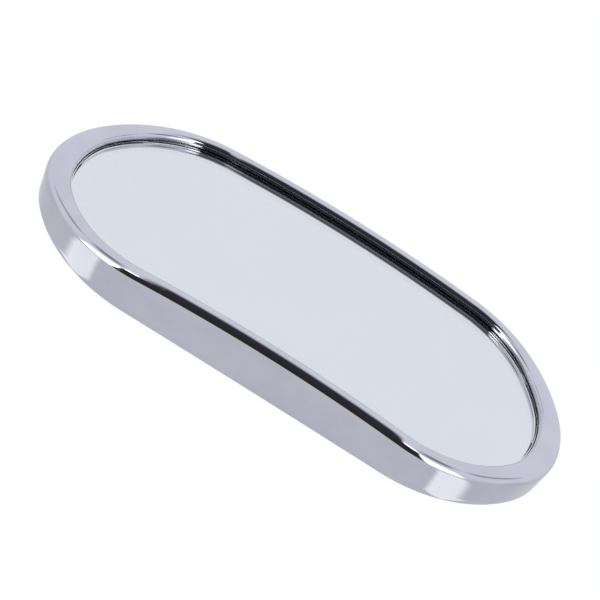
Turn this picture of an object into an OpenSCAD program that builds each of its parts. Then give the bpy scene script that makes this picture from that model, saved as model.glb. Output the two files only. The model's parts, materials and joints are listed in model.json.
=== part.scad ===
// Interior rearview mirror: an arched oval head on a ball and a pivoting arm.
// Row frame: +Z up, the glass faces -Y, origin at the middle of the foot's mounting face.
// The head is drawn lying on its back, with its back edge at z = 0, and is then stood up.

/* [Head] */
// Length of the head
head_len = 215; // [175:1:260]
// Width of the head
head_w = 91.2; // [76:0.2:112]
// Depth of the head, from its back edge to the top of the rim
head_d = 22.8; // [20:0.2:30]
// How far the ends of the rim stand behind its middle
face_sag = 9.4; // [6:0.1:12]
// How much larger the shoulder radius is than half the width
shoulder_more = 12; // [1:0.5:15]
// How much smaller the end radius is than half the width
end_less = 9; // [1:0.5:12]

/* [Frame] */
// Radius of the rim's outer rounding
rim_outer_r = 3; // [2:0.1:4]
// Radius of the rim's inner rounding
rim_inner_r = 2.2; // [1:0.1:3]
// Width of the rim's flat crown at the sides
rim_flat_side = 0.1; // [0.1:0.1:1]
// How much wider the crown is at the ends
rim_flat_end = 4.8; // [0:0.1:6]
// Draft angle of the side wall
draft = 6; // [0:1:17]
// Thickness of the side wall
wall_t = 2.2; // [1.6:0.1:3]
// Thickness of the wall's back edge, outside the back cover
lip_w = 1.2; // [0.8:0.1:1.5]
// Chamfer of the back edge
edge_c = 0.6; // [0.3:0.1:0.8]
// Width of the ledge that the carrier plate rests on
ledge_w = 4; // [2:0.1:6]
// Thickness of that ledge
ledge_t = 1.5; // [1:0.1:2]

/* [Glass] */
// Height of the straight inner wall above the glass
glass_drop = 1; // [0.6:0.1:3]
// Thickness of the glass
glass_t = 2; // [1.8:0.1:3]
// Thickness of the silvering and its paint
coat_t = 0.2; // [0.1:0.05:0.3]
// Thickness of the foam pad
pad_t = 0.8; // [0.5:0.1:1.2]
// Thickness of the carrier plate
carrier_t = 1.2; // [0.8:0.1:1.6]
// Gap round the glass and the carrier plate
glass_gap = 0.25; // [0.1:0.05:0.5]
// How far the silvering's edge stands inside the glass's edge
coat_inset = 0.5; // [0.2:0.1:1]
// How far the pad's edge stands inside the glass's edge
pad_inset = 2.5; // [1:0.5:6]

/* [Back cover] */
// Thickness of the back cover
cover_t = 1.8; // [1.5:0.1:2.4]
// How deep the cover sits in the back edge
cover_recess = 0.2; // [0:0.1:0.5]
// Gap round the back cover
cover_gap = 0.15; // [0.1:0.05:0.3]
// Distance of the screw bosses from the middle, along the head
boss_x = 60; // [45:1:70]
// Distance of the screw bosses from the middle, across the head
boss_y = 22; // [15:1:28]
// Radius of a screw boss
boss_r = 3.4; // [3:0.1:4]
// Depth of the tapped hole in a boss
boss_hole = 6; // [5.5:0.5:8]

/* [Levelling swivel] */
// Radius of the swivel's flange
flange_r = 14; // [12:0.5:16]
// Thickness of the flange
flange_t = 2.6; // [2:0.1:4]
// Radius of the spigot that centres the flange in the cover
hub_r = 8; // [7:0.1:9]
// Thickness of the wave washer
wave_t = 0.5; // [0.3:0.1:1]
// Width of the ring's wall outside the flange
ring_wall = 5.7; // [5.2:0.1:8]
// Thickness of the ring's lip over the washer
ring_lip = 1.6; // [1:0.1:3]
// Radius of the opening in the ring's lip
ring_open_r = 9.5; // [9:0.1:11]

/* [Ball joint] */
// Radius of the ball
ball_r = 6.35; // [5:0.05:8]
// Thickness of the nylon liner
liner_t = 1.25; // [0.8:0.05:2]
// Distance of the ball's centre behind the head's back edge
ball_back = 18; // [17:0.5:24]
// Radius of the socket's outer sphere
socket_r = 11.5; // [11:0.1:13]
// Wall of the socket's threaded collar
collar_wall = 2.1; // [1.8:0.1:3]
// Length of the threaded collar, each side of the ball's centre
collar_half = 3; // [2:0.1:4]
// Radius of the ring nut
nut_r = 12; // [11.5:0.1:15]
// Length of the ring nut beyond the ball's centre
nut_front = 7.5; // [6.8:0.1:10]
// Half angle of the ring nut's mouth
mouth_angle = 50; // [40:1:55]
// Half angle of the liner's mouth
liner_angle = 48; // [45:1:50]
// Radius of the stud's neck
neck_r = 3; // [2.4:0.1:3]
// Radius of the liner's pivot pips
pip_r = 1.2; // [0.8:0.1:1.5]
// How far a pip stands out of the liner
pip_len = 1.2; // [0.6:0.1:1.4]

/* [Arm] */
// Distance from the pivot to the ball's centre
arm_len = 75; // [62:1:100]
// Angle at which the arm climbs from the ball to the pivot
arm_rise = 52; // [40:1:60]
// Radius of the arm tube
tube_r = 5.5; // [4.8:0.1:8]
// Radius of the stud's thread
thread_r = 2.5; // [2:0.1:3]
// Where the stud's thread begins, from the ball's centre
thread_start = 14.5; // [13:0.5:16]
// Length of the stud's thread
thread_len = 17; // [12:1:20]
// Thickness of the jam nut
jam_t = 3; // [2:0.1:5]
// Radius of the eye's shank in the tube
shank_r = 3.9; // [3:0.1:4.5]
// Length of that shank
shank_len = 14; // [12:1:18]
// Distance from the pivot to the eye's shoulder
shoulder_d = 12; // [11:0.5:18]
// Thickness of the eye's shoulder
shoulder_t = 3; // [2:0.5:5]
// Radius of the eye
eye_r = 7.5; // [6.5:0.1:10]
// Width of the eye
eye_w = 7; // [5:0.5:10]

/* [Foot] */
// Radius of the foot's flange
foot_r = 24; // [21:0.5:32]
// Thickness of the flange
foot_t = 5; // [4:0.5:8]
// Thickness of the rubber gasket
gasket_t = 1.5; // [1:0.5:3]
// Diameter of the circle that the screw holes lie on
screw_circle = 34; // [32:1:44]
// Radius of a screw hole
screw_hole_r = 2.3; // [1.8:0.1:2.8]
// Radius of the heads of the screws that the user fits
screw_head_r = 4.2; // [3.5:0.1:4.6]
// Distance of the pivot below the mounting face
pivot_drop = 22; // [20:0.5:30]
// Radius of the clevis's round base
clevis_r = 12; // [11.5:0.5:12.5]
// Thickness of the clevis's round base
clevis_t = 5; // [4:0.5:6]
// Thickness of each ear
ear_t = 4; // [3:0.5:6]
// Thickness of a friction washer
washer_t = 0.6; // [0.4:0.1:1]
// Radius of the pivot bolt
bolt_r = 2.5; // [2:0.1:3]

/* [Fits] */
// Running clearance of a turning fit
run_gap = 0.05; // [0.02:0.01:0.08]
// Clearance in a screw thread
thread_gap = 0.02; // [0.01:0.01:0.04]
// Clearance between parts that must not touch
free_gap = 0.3; // [0.2:0.05:0.5]
// How much wider a countersink is than the screw's head
sink_gap = 0.15; // [0.1:0.05:0.3]

/* [Hidden] */
$fn = 64;
// Facets of the large cylinders that bend the glass
bend_fn = 720;
// Reach of a cut past a face
eps = 0.4;
// Overlap that joins the solids of one piece
weld = 0.01;

// Outline of the head: straight sides, shoulder arcs and end arcs, all tangent
half_len = head_len / 2;
half_w = head_w / 2;
shoulder_r = half_w + shoulder_more;
end_r = half_w - end_less;
end_cx = half_len - end_r;
shoulder_cx = end_cx - sqrt(pow(shoulder_r - end_r, 2) - pow(shoulder_more, 2));
end_turn = atan2(shoulder_more, end_cx - shoulder_cx);
steps_end = 6;
steps_shoulder = 12;
steps_side = 10;
steps_quarter = steps_end + steps_shoulder + steps_side;
// Steps of the rim's two roundings
outer_steps = 8;
inner_steps = 6;

// A station is [x, y, direction of the outward normal]
function arc_station(cx, cy, r, a) = [cx + r * cos(a), cy + r * sin(a), a];
function quarter_station(k) =
    k <= steps_end ? arc_station(end_cx, 0, end_r, end_turn * k / steps_end)
    : k <= steps_end + steps_shoulder
        ? arc_station(shoulder_cx, -shoulder_more, shoulder_r,
                      end_turn + (90 - end_turn) * (k - steps_end) / steps_shoulder)
        : [shoulder_cx * (steps_quarter - k) / steps_side, half_w, 90];
function station(i) =
    let (q = floor(i / steps_quarter), k = i % steps_quarter)
    q == 0 ? quarter_station(k)
    : q == 1 ? let (s = quarter_station(steps_quarter - k)) [-s[0], s[1], 180 - s[2]]
    : q == 2 ? let (s = quarter_station(k)) [-s[0], -s[1], 180 + s[2]]
    : let (s = quarter_station(steps_quarter - k)) [s[0], -s[1], 360 - s[2]];
stations = [for (i = [0:4 * steps_quarter - 1]) station(i)];
// A station's point, moved inwards by u
function inward(s, u) = [s[0] - u * cos(s[2]), s[1] - u * sin(s[2])];

// The arched face: concentric cylinders about one axis across the head
face_r = (half_len * half_len + face_sag * face_sag) / (2 * face_sag);
face_cz = head_d - face_r;
function layer_z(x, d) = face_cz + sqrt(pow(face_r - d, 2) - x * x);

// Depths of the layers below the crown of the rim
glass_top = rim_inner_r + glass_drop;
coat_top = glass_top + glass_t;
pad_top = coat_top + coat_t;
carrier_top = pad_top + pad_t;
ledge_top = carrier_top + carrier_t;
ledge_under = ledge_top + ledge_t;

// Insets from the widest outline, at a station
function rim_flat(s) = rim_flat_side + rim_flat_end * pow(cos(s[2]), 2);
function wall_u(s) = rim_outer_r + rim_flat(s) + rim_inner_r;
skirt_top_u = rim_outer_r * (1 - cos(draft));
skirt_top_d = rim_outer_r * (1 + sin(draft));
function skirt_u(s, z) = skirt_top_u + (layer_z(s[0], skirt_top_d) - z) * tan(draft);

// Heights in the back of the head
cover_out = cover_recess;
cover_in = cover_out + cover_t;

// Swivel: distances behind the head's back edge, measured from the cover's outer face
flange_hole_r = 5;
hub_len = cover_t - free_gap;
ring_in_r = flange_r + free_gap;
ring_out_r = ring_in_r + ring_wall;
lip_z = flange_t + wave_t + run_gap;
ring_h = lip_z + ring_lip;
ring_screw_count = 3;
ring_screw_pr = (ring_in_r + ring_out_r) / 2;
small_screw_r = 1.25;
wave_inset = 0.5;
small_head_r = 2.3;
small_head_t = 1;
cover_screw_r = 1.5;
cover_head_r = 2.8;
cover_head_t = 1.3;
drive_r = 1.1;
// Depth of a screw's drive, as a share of its head
drive_share = 0.6;
screw_grip = 5;

// Ball joint, along the arm's own axis from the ball's centre
liner_in = ball_r + run_gap;
liner_out = liner_in + liner_t;
seat_r = liner_out + run_gap;
collar_r = seat_r + collar_wall;
nut_bore_r = collar_r + thread_gap;
nut_back = collar_half - free_gap;
nut_seat_z = collar_half + free_gap / 2;
nut_edge = 1.5;
liner_back_r = 2.9;
mouth_z = seat_r * cos(mouth_angle);
mouth_r = seat_r * sin(mouth_angle);
neck_body_r = 8;
stud_neck_start = 5;
hex_t = 2.5;
hex_af = 8;
jam_af = 10;
grub_r = 1.45;
grub_drive_r = 0.8;
grub_drive_depth = 1;
grub_sink = 0.2;

// Arm
jam_start = thread_start + 0.8;
tube_start = jam_start + jam_t;
tube_end = arm_len - shoulder_d - shoulder_t;
stud_hole_end = thread_start + thread_len + 2;
shank_start = tube_end - shank_len;
web_w = 2 * tube_r - 2;
groove_len = 4;
groove_r = 3;
groove_z = shank_start + 5;
tube_edge = 0.8;

// Places in the row frame
base_top = -gasket_t;
base_bottom = base_top - foot_t;
clevis_bottom = base_bottom - clevis_t;
pivot = [0, 0, -pivot_drop];
ball = [0, -arm_len * cos(arm_rise), -pivot_drop - arm_len * sin(arm_rise)];
head_back_y = ball[1] - ball_back;
cover_face_y = head_back_y - cover_out;
ear_in = eye_w / 2 + washer_t + run_gap;
ear_out = ear_in + ear_t;
washer_inset = 0.5;
spring_t = 0.8;
spring_r = 5.3;
nut_t = 5.5;
nut_hex_t = 3.4;
nut_dome_sink = 0.6;
nut_af = 8;
bolt_end_gap = 1.5;
bolt_head_t = 3;
bolt_head_r = 4.6;
bolt_edge = 1;
bolt_drive_af = 3;
bolt_drive_depth = 1.5;
clevis_screw_r = 2.5;
clevis_head_r = 4.8;
clevis_head_t = 2.6;
clevis_screw_sink = 0.05;
clevis_screw_short = 1;
foot_edge_r = 1.5;
gasket_inset = 0.8;

// Stands the head up at its place in the row
module head_place() translate([0, head_back_y, ball[2]]) rotate([90, 0, 0]) children();

// Local +Z points away from the cover's outer face, towards the arm
module swivel_place() translate([0, cover_face_y, ball[2]]) rotate([-90, 0, 0]) children();

// Local +Z runs from the ball's centre along the arm
module arm_place() translate(ball) rotate([arm_rise - 90, 0, 0]) children();

// Local +Z runs along the pivot
module pivot_place() translate(pivot) rotate([0, 90, 0]) children();

module ring_shape(r_out, r_in, h) {
    difference() {
        cylinder(r = r_out, h = h);
        translate([0, 0, -eps]) cylinder(r = r_in, h = h + 2 * eps);
    }
}

// Hexagon given by its width across flats
module hex_bar(af, h) cylinder(r = af / 2 / cos(30), h = h, $fn = 6);

// Countersunk screw, head face at z = 0, pointing down -Z
module flat_screw(head_r, head_t, shank_r, len) {
    difference() {
        union() {
            translate([0, 0, -head_t]) cylinder(r1 = shank_r, r2 = head_r, h = head_t);
            translate([0, 0, -len]) cylinder(r = shank_r, h = len - head_t + weld);
        }
        translate([0, 0, -head_t * drive_share]) cylinder(r = drive_r, h = head_t, $fn = 6);
    }
}

// The cut that a countersunk screw needs, head face at z = 0
module flat_screw_hole(head_r, head_t, hole_r, len) {
    translate([0, 0, -head_t]) cylinder(r1 = hole_r, r2 = head_r + sink_gap, h = head_t);
    translate([0, 0, -weld]) cylinder(r = head_r + sink_gap, h = eps);
    translate([0, 0, -len]) cylinder(r = hole_r, h = len);
}

module bend_cylinder(d) {
    translate([0, 0, face_cz]) rotate([90, 0, 0])
        cylinder(r = face_r - d, h = 2 * head_w, center = true, $fn = bend_fn);
}

// A layer of the glass stack between two depths below the crown
module bent_layer(d_front, d_back, inset) {
    intersection() {
        linear_extrude(height = head_d)
            polygon([for (s = stations) inward(s, wall_u(s) + inset)]);
        difference() {
            bend_cylinder(d_front);
            bend_cylinder(d_back);
        }
    }
}

module at_bosses() for (x = [-1, 1], y = [-1, 1]) translate([x * boss_x, y * boss_y, 0]) children();

module at_ring_screws() {
    for (i = [0:ring_screw_count - 1])
        rotate([0, 0, 90 + 360 * i / ring_screw_count]) translate([ring_screw_pr, 0, 0]) children();
}

module at_foot_holes() {
    for (i = [0:2]) rotate([0, 0, 90 + 120 * i]) translate([screw_circle / 2, 0, 0]) children();
}

// Section of the frame at a station, as [inset, height] pairs from the back edge round the rim
function frame_section(s) =
    let (wu = wall_u(s), x_wall = inward(s, wu)[0], x_lip = inward(s, wu + ledge_w)[0])
    concat(
        [[skirt_u(s, edge_c), edge_c]],
        [for (k = [0:outer_steps])
            let (a = (90 + draft) * (1 - k / outer_steps), u = rim_outer_r * (1 - sin(a)))
            [u, layer_z(inward(s, u)[0], rim_outer_r * (1 - cos(a)))]],
        [for (k = [0:inner_steps])
            let (a = 90 * k / inner_steps, u = wu - rim_inner_r * (1 - sin(a)))
            [u, layer_z(inward(s, u)[0], rim_inner_r * (1 - cos(a)))]],
        [[wu, layer_z(x_wall, ledge_top)],
         [wu + ledge_w, layer_z(x_lip, ledge_top)],
         [wu + ledge_w, layer_z(x_lip, ledge_under)],
         [skirt_u(s, layer_z(s[0], ledge_under)) + wall_t,
          layer_z(inward(s, skirt_u(s, layer_z(s[0], ledge_under)) + wall_t)[0], ledge_under)],
         [skirt_u(s, cover_in) + wall_t, cover_in],
         [skirt_u(s, 0) + lip_w, cover_in],
         [skirt_u(s, 0) + lip_w, 0],
         [skirt_u(s, 0) + edge_c, 0]]);

module mirror_frame() {
    sections = [for (s = stations) frame_section(s)];
    m = len(sections[0]);
    n = len(stations);
    points = [for (i = [0:n - 1], j = [0:m - 1])
        let (q = sections[i][j], p = inward(stations[i], q[0])) [p[0], p[1], q[1]]];
    faces = [for (i = [0:n - 1], j = [0:m - 1], h = [0, 1])
        let (a = i * m + j, b = i * m + (j + 1) % m,
             c = ((i + 1) % n) * m + (j + 1) % m, d = ((i + 1) % n) * m + j)
        h == 0 ? [a, b, c] : [a, c, d]];
    color("silver") head_place() polyhedron(points = points, faces = faces);
}

module mirror_glass() {
    color([0.85, 0.87, 0.9]) head_place() bent_layer(glass_top, coat_top, glass_gap);
}

module silver_coat() {
    color("gainsboro") head_place() bent_layer(coat_top, pad_top, glass_gap + coat_inset);
}

module glass_pad() {
    color("dimgray") head_place() bent_layer(pad_top, carrier_top, glass_gap + pad_inset);
}

module carrier_plate() {
    color("lightslategray") head_place() difference() {
        union() {
            bent_layer(carrier_top, ledge_top, glass_gap);
            at_bosses() translate([0, 0, cover_in])
                cylinder(r = boss_r, h = layer_z(boss_x, carrier_top + carrier_t / 2) - cover_in);
        }
        at_bosses() translate([0, 0, cover_in - eps])
            cylinder(r = small_screw_r + thread_gap, h = boss_hole + eps);
    }
}

module back_cover() {
    color("silver") head_place() difference() {
        translate([0, 0, cover_out]) linear_extrude(height = cover_t)
            polygon([for (s = stations) inward(s, skirt_u(s, 0) + lip_w + cover_gap)]);
        translate([0, 0, cover_out - eps]) cylinder(r = hub_r + run_gap, h = cover_t + 2 * eps);
        at_bosses() translate([0, 0, cover_out]) rotate([180, 0, 0])
            flat_screw_hole(cover_head_r, cover_head_t, cover_screw_r + free_gap, cover_t + eps);
        rotate([180, 0, 0]) at_ring_screws() translate([0, 0, -cover_in - eps])
            cylinder(r = small_screw_r + thread_gap, h = cover_t + 2 * eps);
    }
}

module cover_screws() {
    color("silver") head_place() at_bosses() translate([0, 0, cover_out]) rotate([180, 0, 0])
        flat_screw(cover_head_r, cover_head_t, small_screw_r, cover_t + screw_grip);
}

module socket_flange() {
    color("silver") swivel_place() difference() {
        union() {
            cylinder(r = flange_r, h = flange_t);
            translate([0, 0, -hub_len]) cylinder(r = hub_r, h = hub_len + weld);
        }
        translate([0, 0, -hub_len - eps])
            cylinder(r = flange_hole_r + thread_gap, h = hub_len + flange_t + 2 * eps);
    }
}

module levelling_washer() {
    color("goldenrod") swivel_place() translate([0, 0, flange_t + run_gap / 2])
        ring_shape(flange_r - wave_inset, ring_open_r + wave_inset, wave_t);
}

module flange_ring() {
    color("silver") swivel_place() difference() {
        cylinder(r = ring_out_r, h = ring_h);
        translate([0, 0, -eps]) cylinder(r = ring_in_r, h = lip_z + eps);
        translate([0, 0, -eps]) cylinder(r = ring_open_r, h = ring_h + 2 * eps);
        at_ring_screws() translate([0, 0, ring_h])
            flat_screw_hole(small_head_r, small_head_t, small_screw_r + sink_gap, ring_h + eps);
    }
}

module ring_screws() {
    color("silver") swivel_place() at_ring_screws() translate([0, 0, ring_h])
        flat_screw(small_head_r, small_head_t, small_screw_r, ring_h + cover_t - free_gap);
}

module socket_body() {
    color("silver") difference() {
        union() {
            arm_place() intersection() {
                sphere(r = socket_r);
                translate([0, 0, -2 * socket_r - collar_half])
                    cylinder(r = 2 * socket_r, h = 2 * socket_r);
            }
            arm_place() translate([0, 0, -collar_half - eps])
                cylinder(r = collar_r, h = 2 * collar_half + eps);
            swivel_place() translate([0, 0, flange_t]) cylinder(r = neck_body_r, h = ball_back - flange_t);
            swivel_place() translate([0, 0, -hub_len])
                cylinder(r = flange_hole_r, h = hub_len + ball_back - seat_r);
        }
        arm_place() sphere(r = seat_r);
        arm_place() cylinder(r = seat_r, h = 2 * socket_r);
        arm_place() translate([0, 0, collar_half]) cylinder(r = 2 * socket_r, h = 2 * socket_r);
        arm_place() translate([0, 0, -nut_back]) ring_shape(2 * socket_r, collar_r, 2 * socket_r);
        arm_place() for (side = [-1, 1]) {
            rotate([90 * side, 0, 0]) cylinder(r = pip_r + run_gap, h = seat_r + pip_len + run_gap);
            translate([-pip_r - run_gap, side > 0 ? 0 : -seat_r - pip_len - run_gap, 0])
                cube([2 * (pip_r + run_gap), seat_r + pip_len + run_gap, 2 * collar_half]);
        }
    }
}

module socket_nut() {
    color("silver") arm_place() difference() {
        union() {
            translate([0, 0, -nut_back]) cylinder(r = nut_r, h = nut_back + nut_front - nut_edge);
            translate([0, 0, nut_front - nut_edge - weld])
                cylinder(r1 = nut_r, r2 = nut_r - nut_edge, h = nut_edge + weld);
        }
        translate([0, 0, -nut_back - eps]) cylinder(r = nut_bore_r, h = nut_back + nut_seat_z + eps);
        sphere(r = seat_r);
        translate([0, 0, mouth_z])
            cylinder(r1 = mouth_r, r2 = mouth_r + (nut_front + eps - mouth_z) * tan(mouth_angle),
                     h = nut_front + eps - mouth_z);
        rotate([0, 90, 0]) cylinder(r = grub_r + thread_gap, h = nut_r + eps);
    }
}

module socket_grub_screw() {
    color("dimgray") arm_place() rotate([0, 90, 0]) translate([0, 0, nut_bore_r]) difference() {
        cylinder(r = grub_r, h = nut_r - nut_bore_r - grub_sink);
        translate([0, 0, grub_drive_depth]) cylinder(r = grub_drive_r, h = nut_r, $fn = 6);
    }
}

module ball_liner() {
    liner_mouth_z = liner_in * cos(liner_angle);
    color("whitesmoke") arm_place() difference() {
        union() {
            sphere(r = liner_out);
            for (side = [-1, 1]) rotate([90 * side, 0, 0]) cylinder(r = pip_r, h = seat_r + pip_len);
        }
        sphere(r = liner_in);
        translate([0, 0, liner_mouth_z])
            cylinder(r1 = liner_in * sin(liner_angle),
                     r2 = liner_in * sin(liner_angle) + liner_out * tan(liner_angle), h = liner_out);
        translate([0, 0, -2 * liner_out]) cylinder(r = liner_back_r, h = 2 * liner_out);
    }
}

module ball_stud() {
    color("silver") arm_place() union() {
        sphere(r = ball_r);
        translate([0, 0, stud_neck_start])
            cylinder(r = neck_r, h = thread_start - hex_t - stud_neck_start + weld);
        translate([0, 0, thread_start - hex_t]) hex_bar(hex_af, hex_t);
        translate([0, 0, thread_start - weld]) cylinder(r = thread_r, h = thread_len);
    }
}

module jam_nut() {
    color("silver") arm_place() translate([0, 0, jam_start]) difference() {
        hex_bar(jam_af, jam_t);
        translate([0, 0, -eps]) cylinder(r = thread_r + thread_gap, h = jam_t + 2 * eps);
    }
}

module arm_tube() {
    color("silver") arm_place() difference() {
        union() {
            translate([0, 0, tube_start]) cylinder(r1 = tube_r - tube_edge, r2 = tube_r, h = tube_edge);
            translate([0, 0, tube_start + tube_edge - weld])
                cylinder(r = tube_r, h = tube_end - tube_start - tube_edge + weld);
        }
        translate([0, 0, tube_start - eps])
            cylinder(r = thread_r + thread_gap, h = stud_hole_end - tube_start + eps);
        translate([0, 0, shank_start - free_gap])
            cylinder(r = shank_r + run_gap, h = shank_len + free_gap + eps);
        translate([0, 0, groove_z + groove_len / 2]) rotate([0, 90, 0])
            cylinder(r = grub_r + thread_gap, h = tube_r + eps);
    }
}

module arm_set_screw() {
    color("dimgray") arm_place() translate([0, 0, groove_z + groove_len / 2]) rotate([0, 90, 0])
        translate([0, 0, groove_r + run_gap]) difference() {
            cylinder(r = grub_r, h = tube_r - groove_r - run_gap - grub_sink);
            translate([0, 0, grub_drive_depth]) cylinder(r = grub_drive_r, h = tube_r, $fn = 6);
        }
}

module arm_eye() {
    color("silver") arm_place() difference() {
        union() {
            translate([0, 0, shank_start]) cylinder(r = shank_r, h = shank_len + run_gap + weld);
            translate([0, 0, tube_end + run_gap]) cylinder(r = tube_r, h = shoulder_t - run_gap);
            translate([-eye_w / 2, -web_w / 2, arm_len - shoulder_d - weld])
                cube([eye_w, web_w, shoulder_d]);
            translate([-eye_w / 2, 0, arm_len]) rotate([0, 90, 0]) cylinder(r = eye_r, h = eye_w);
        }
        translate([-eye_w, 0, arm_len]) rotate([0, 90, 0])
            cylinder(r = bolt_r + run_gap, h = 2 * eye_w);
        translate([0, 0, groove_z]) ring_shape(shank_r + eps, groove_r, groove_len);
    }
}

module friction_washers() {
    color("whitesmoke") pivot_place() for (side = [-1, 1])
        translate([0, 0, side > 0 ? ear_in - washer_t : -ear_in])
            ring_shape(eye_r - washer_inset, bolt_r + run_gap, washer_t);
}

module foot_clevis() {
    color("silver") difference() {
        union() {
            translate([0, 0, clevis_bottom]) cylinder(r = clevis_r, h = clevis_t);
            for (side = [-1, 1]) {
                pivot_place() translate([0, 0, side > 0 ? ear_in : -ear_out])
                    cylinder(r = eye_r, h = ear_t);
                translate([side > 0 ? ear_in : -ear_out, -eye_r, pivot[2]])
                    cube([ear_t, 2 * eye_r, clevis_bottom - pivot[2] + weld]);
            }
        }
        pivot_place() translate([0, 0, -ear_out - eps])
            cylinder(r = bolt_r + run_gap, h = 2 * ear_out + 2 * eps);
        translate([0, 0, clevis_bottom - eps])
            cylinder(r = clevis_screw_r + thread_gap, h = clevis_t + 2 * eps);
    }
}

module pivot_bolt() {
    color("silver") pivot_place() difference() {
        union() {
            translate([0, 0, -ear_out - bolt_head_t]) {
                cylinder(r1 = bolt_head_r - bolt_edge, r2 = bolt_head_r, h = bolt_edge);
                translate([0, 0, bolt_edge - weld])
                    cylinder(r = bolt_head_r, h = bolt_head_t - bolt_edge + weld);
            }
            translate([0, 0, -ear_out - weld])
                cylinder(r = bolt_r, h = 2 * ear_out + spring_t + nut_t - bolt_end_gap);
        }
        translate([0, 0, -ear_out - bolt_head_t - eps]) hex_bar(bolt_drive_af, bolt_drive_depth + eps);
    }
}

module disc_spring() {
    color("goldenrod") pivot_place() translate([0, 0, ear_out])
        ring_shape(spring_r, bolt_r + run_gap, spring_t);
}

module pivot_nut() {
    dome_r = nut_af / 2;
    color("silver") pivot_place() translate([0, 0, ear_out + spring_t]) difference() {
        union() {
            hex_bar(nut_af, nut_hex_t);
            translate([0, 0, nut_hex_t - nut_dome_sink]) intersection() {
                sphere(r = dome_r);
                cylinder(r = dome_r, h = dome_r);
            }
        }
        translate([0, 0, -eps]) cylinder(r = bolt_r + thread_gap, h = nut_t - bolt_end_gap / 2 + eps);
    }
}

module foot_base() {
    color("silver") difference() {
        rotate_extrude() polygon(concat(
            [[0, base_bottom], [foot_r - foot_edge_r, base_bottom]],
            [for (a = [15:15:90])
                [foot_r - foot_edge_r + foot_edge_r * sin(a), base_bottom + foot_edge_r * (1 - cos(a))]],
            [[foot_r, base_top], [0, base_top]]));
        at_foot_holes() translate([0, 0, base_bottom]) rotate([180, 0, 0])
            flat_screw_hole(screw_head_r, screw_hole_r, screw_hole_r, foot_t + eps);
        translate([0, 0, base_top])
            flat_screw_hole(clevis_head_r, clevis_head_t, clevis_screw_r + free_gap, foot_t + eps);
    }
}

module clevis_screw() {
    color("dimgray") translate([0, 0, base_top - clevis_screw_sink])
        flat_screw(clevis_head_r, clevis_head_t, clevis_screw_r, foot_t + clevis_t - clevis_screw_short);
}

module foot_gasket() {
    color([0.1, 0.1, 0.1]) difference() {
        translate([0, 0, -gasket_t]) cylinder(r = foot_r - gasket_inset, h = gasket_t);
        at_foot_holes() translate([0, 0, -gasket_t - eps])
            cylinder(r = screw_hole_r, h = gasket_t + 2 * eps);
    }
}

foot_gasket();
foot_base();
clevis_screw();
foot_clevis();
pivot_bolt();
friction_washers();
disc_spring();
pivot_nut();
arm_eye();
arm_tube();
arm_set_screw();
jam_nut();
ball_stud();
ball_liner();
socket_body();
socket_nut();
socket_grub_screw();
socket_flange();
levelling_washer();
flange_ring();
ring_screws();
back_cover();
cover_screws();
carrier_plate();
glass_pad();
silver_coat();
mirror_glass();
mirror_frame();
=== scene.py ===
"""An interior rearview mirror: an arched oval head on a ball joint, a pivoting arm and a round foot.

Every piece is built in the row frame, in metres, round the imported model. Sizes are in millimetres and are
fields of the sub-assemblies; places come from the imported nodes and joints.
"""

import sys

import json
import logging
import math
from dataclasses import dataclass, field
from enum import Enum
from typing import Any, Callable, Sequence

import bmesh
import bpy
from mathutils import Matrix, Vector

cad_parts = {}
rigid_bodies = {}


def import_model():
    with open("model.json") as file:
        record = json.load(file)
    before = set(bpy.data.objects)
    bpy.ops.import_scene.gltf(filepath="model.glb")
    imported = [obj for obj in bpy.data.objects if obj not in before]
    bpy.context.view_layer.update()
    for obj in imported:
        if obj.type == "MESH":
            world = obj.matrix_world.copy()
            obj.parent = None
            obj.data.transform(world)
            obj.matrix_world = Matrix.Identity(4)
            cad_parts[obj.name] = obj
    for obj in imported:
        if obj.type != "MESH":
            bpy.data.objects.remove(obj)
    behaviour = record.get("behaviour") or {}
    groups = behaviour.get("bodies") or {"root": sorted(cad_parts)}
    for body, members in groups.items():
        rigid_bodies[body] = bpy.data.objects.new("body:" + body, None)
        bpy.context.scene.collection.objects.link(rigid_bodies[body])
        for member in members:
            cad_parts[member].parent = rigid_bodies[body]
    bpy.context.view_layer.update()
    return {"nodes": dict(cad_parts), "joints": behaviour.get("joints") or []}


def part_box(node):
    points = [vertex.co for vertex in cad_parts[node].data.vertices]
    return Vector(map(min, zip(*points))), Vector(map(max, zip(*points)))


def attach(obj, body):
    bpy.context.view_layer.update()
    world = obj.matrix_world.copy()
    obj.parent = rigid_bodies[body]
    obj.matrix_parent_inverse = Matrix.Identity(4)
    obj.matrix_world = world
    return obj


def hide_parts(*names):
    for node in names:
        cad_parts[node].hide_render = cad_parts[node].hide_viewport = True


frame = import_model()

MM = 0.001
TURN = 2 * math.pi
LOG = logging.getLogger("mirror")

Point2 = tuple[float, float]
Corner = tuple[float, float, float]
Colour = tuple[float, float, float, float]
Tree = bpy.types.NodeTree
Socket = bpy.types.NodeSocket


class Slot(Enum):
    """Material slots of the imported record."""

    CHROME = "chrome"
    KNURLED = "knurled_chrome"
    POLISHED_STEEL = "polished_steel"
    BLACK_STEEL = "black_steel"
    SPRING_STEEL = "spring_steel"
    ZINC = "zinc_plate"
    GLASS = "clear_glass"
    SILVERING = "silvering"
    FOAM = "foam"
    RUBBER = "rubber"
    NYLON = "nylon"


class Merge(Enum):
    """What a boolean does with its tools."""

    CUT = "DIFFERENCE"
    ADD = "UNION"


# ---------------------------------------------------------------- colours and nodes


def linear(hex_colour: str) -> Colour:
    """Turns an sRGB hex colour to linear.

    Args:
        hex_colour: the colour, as in "#C0C4CC".

    Returns:
        Linear red, green, blue and an alpha of 1.
    """
    parts = [int(hex_colour[i : i + 2], 16) / 255 for i in (1, 3, 5)]
    rgb = [p / 12.92 if p <= 0.04045 else ((p + 0.055) / 1.055) ** 2.4 for p in parts]
    return (*rgb, 1.0)


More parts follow.
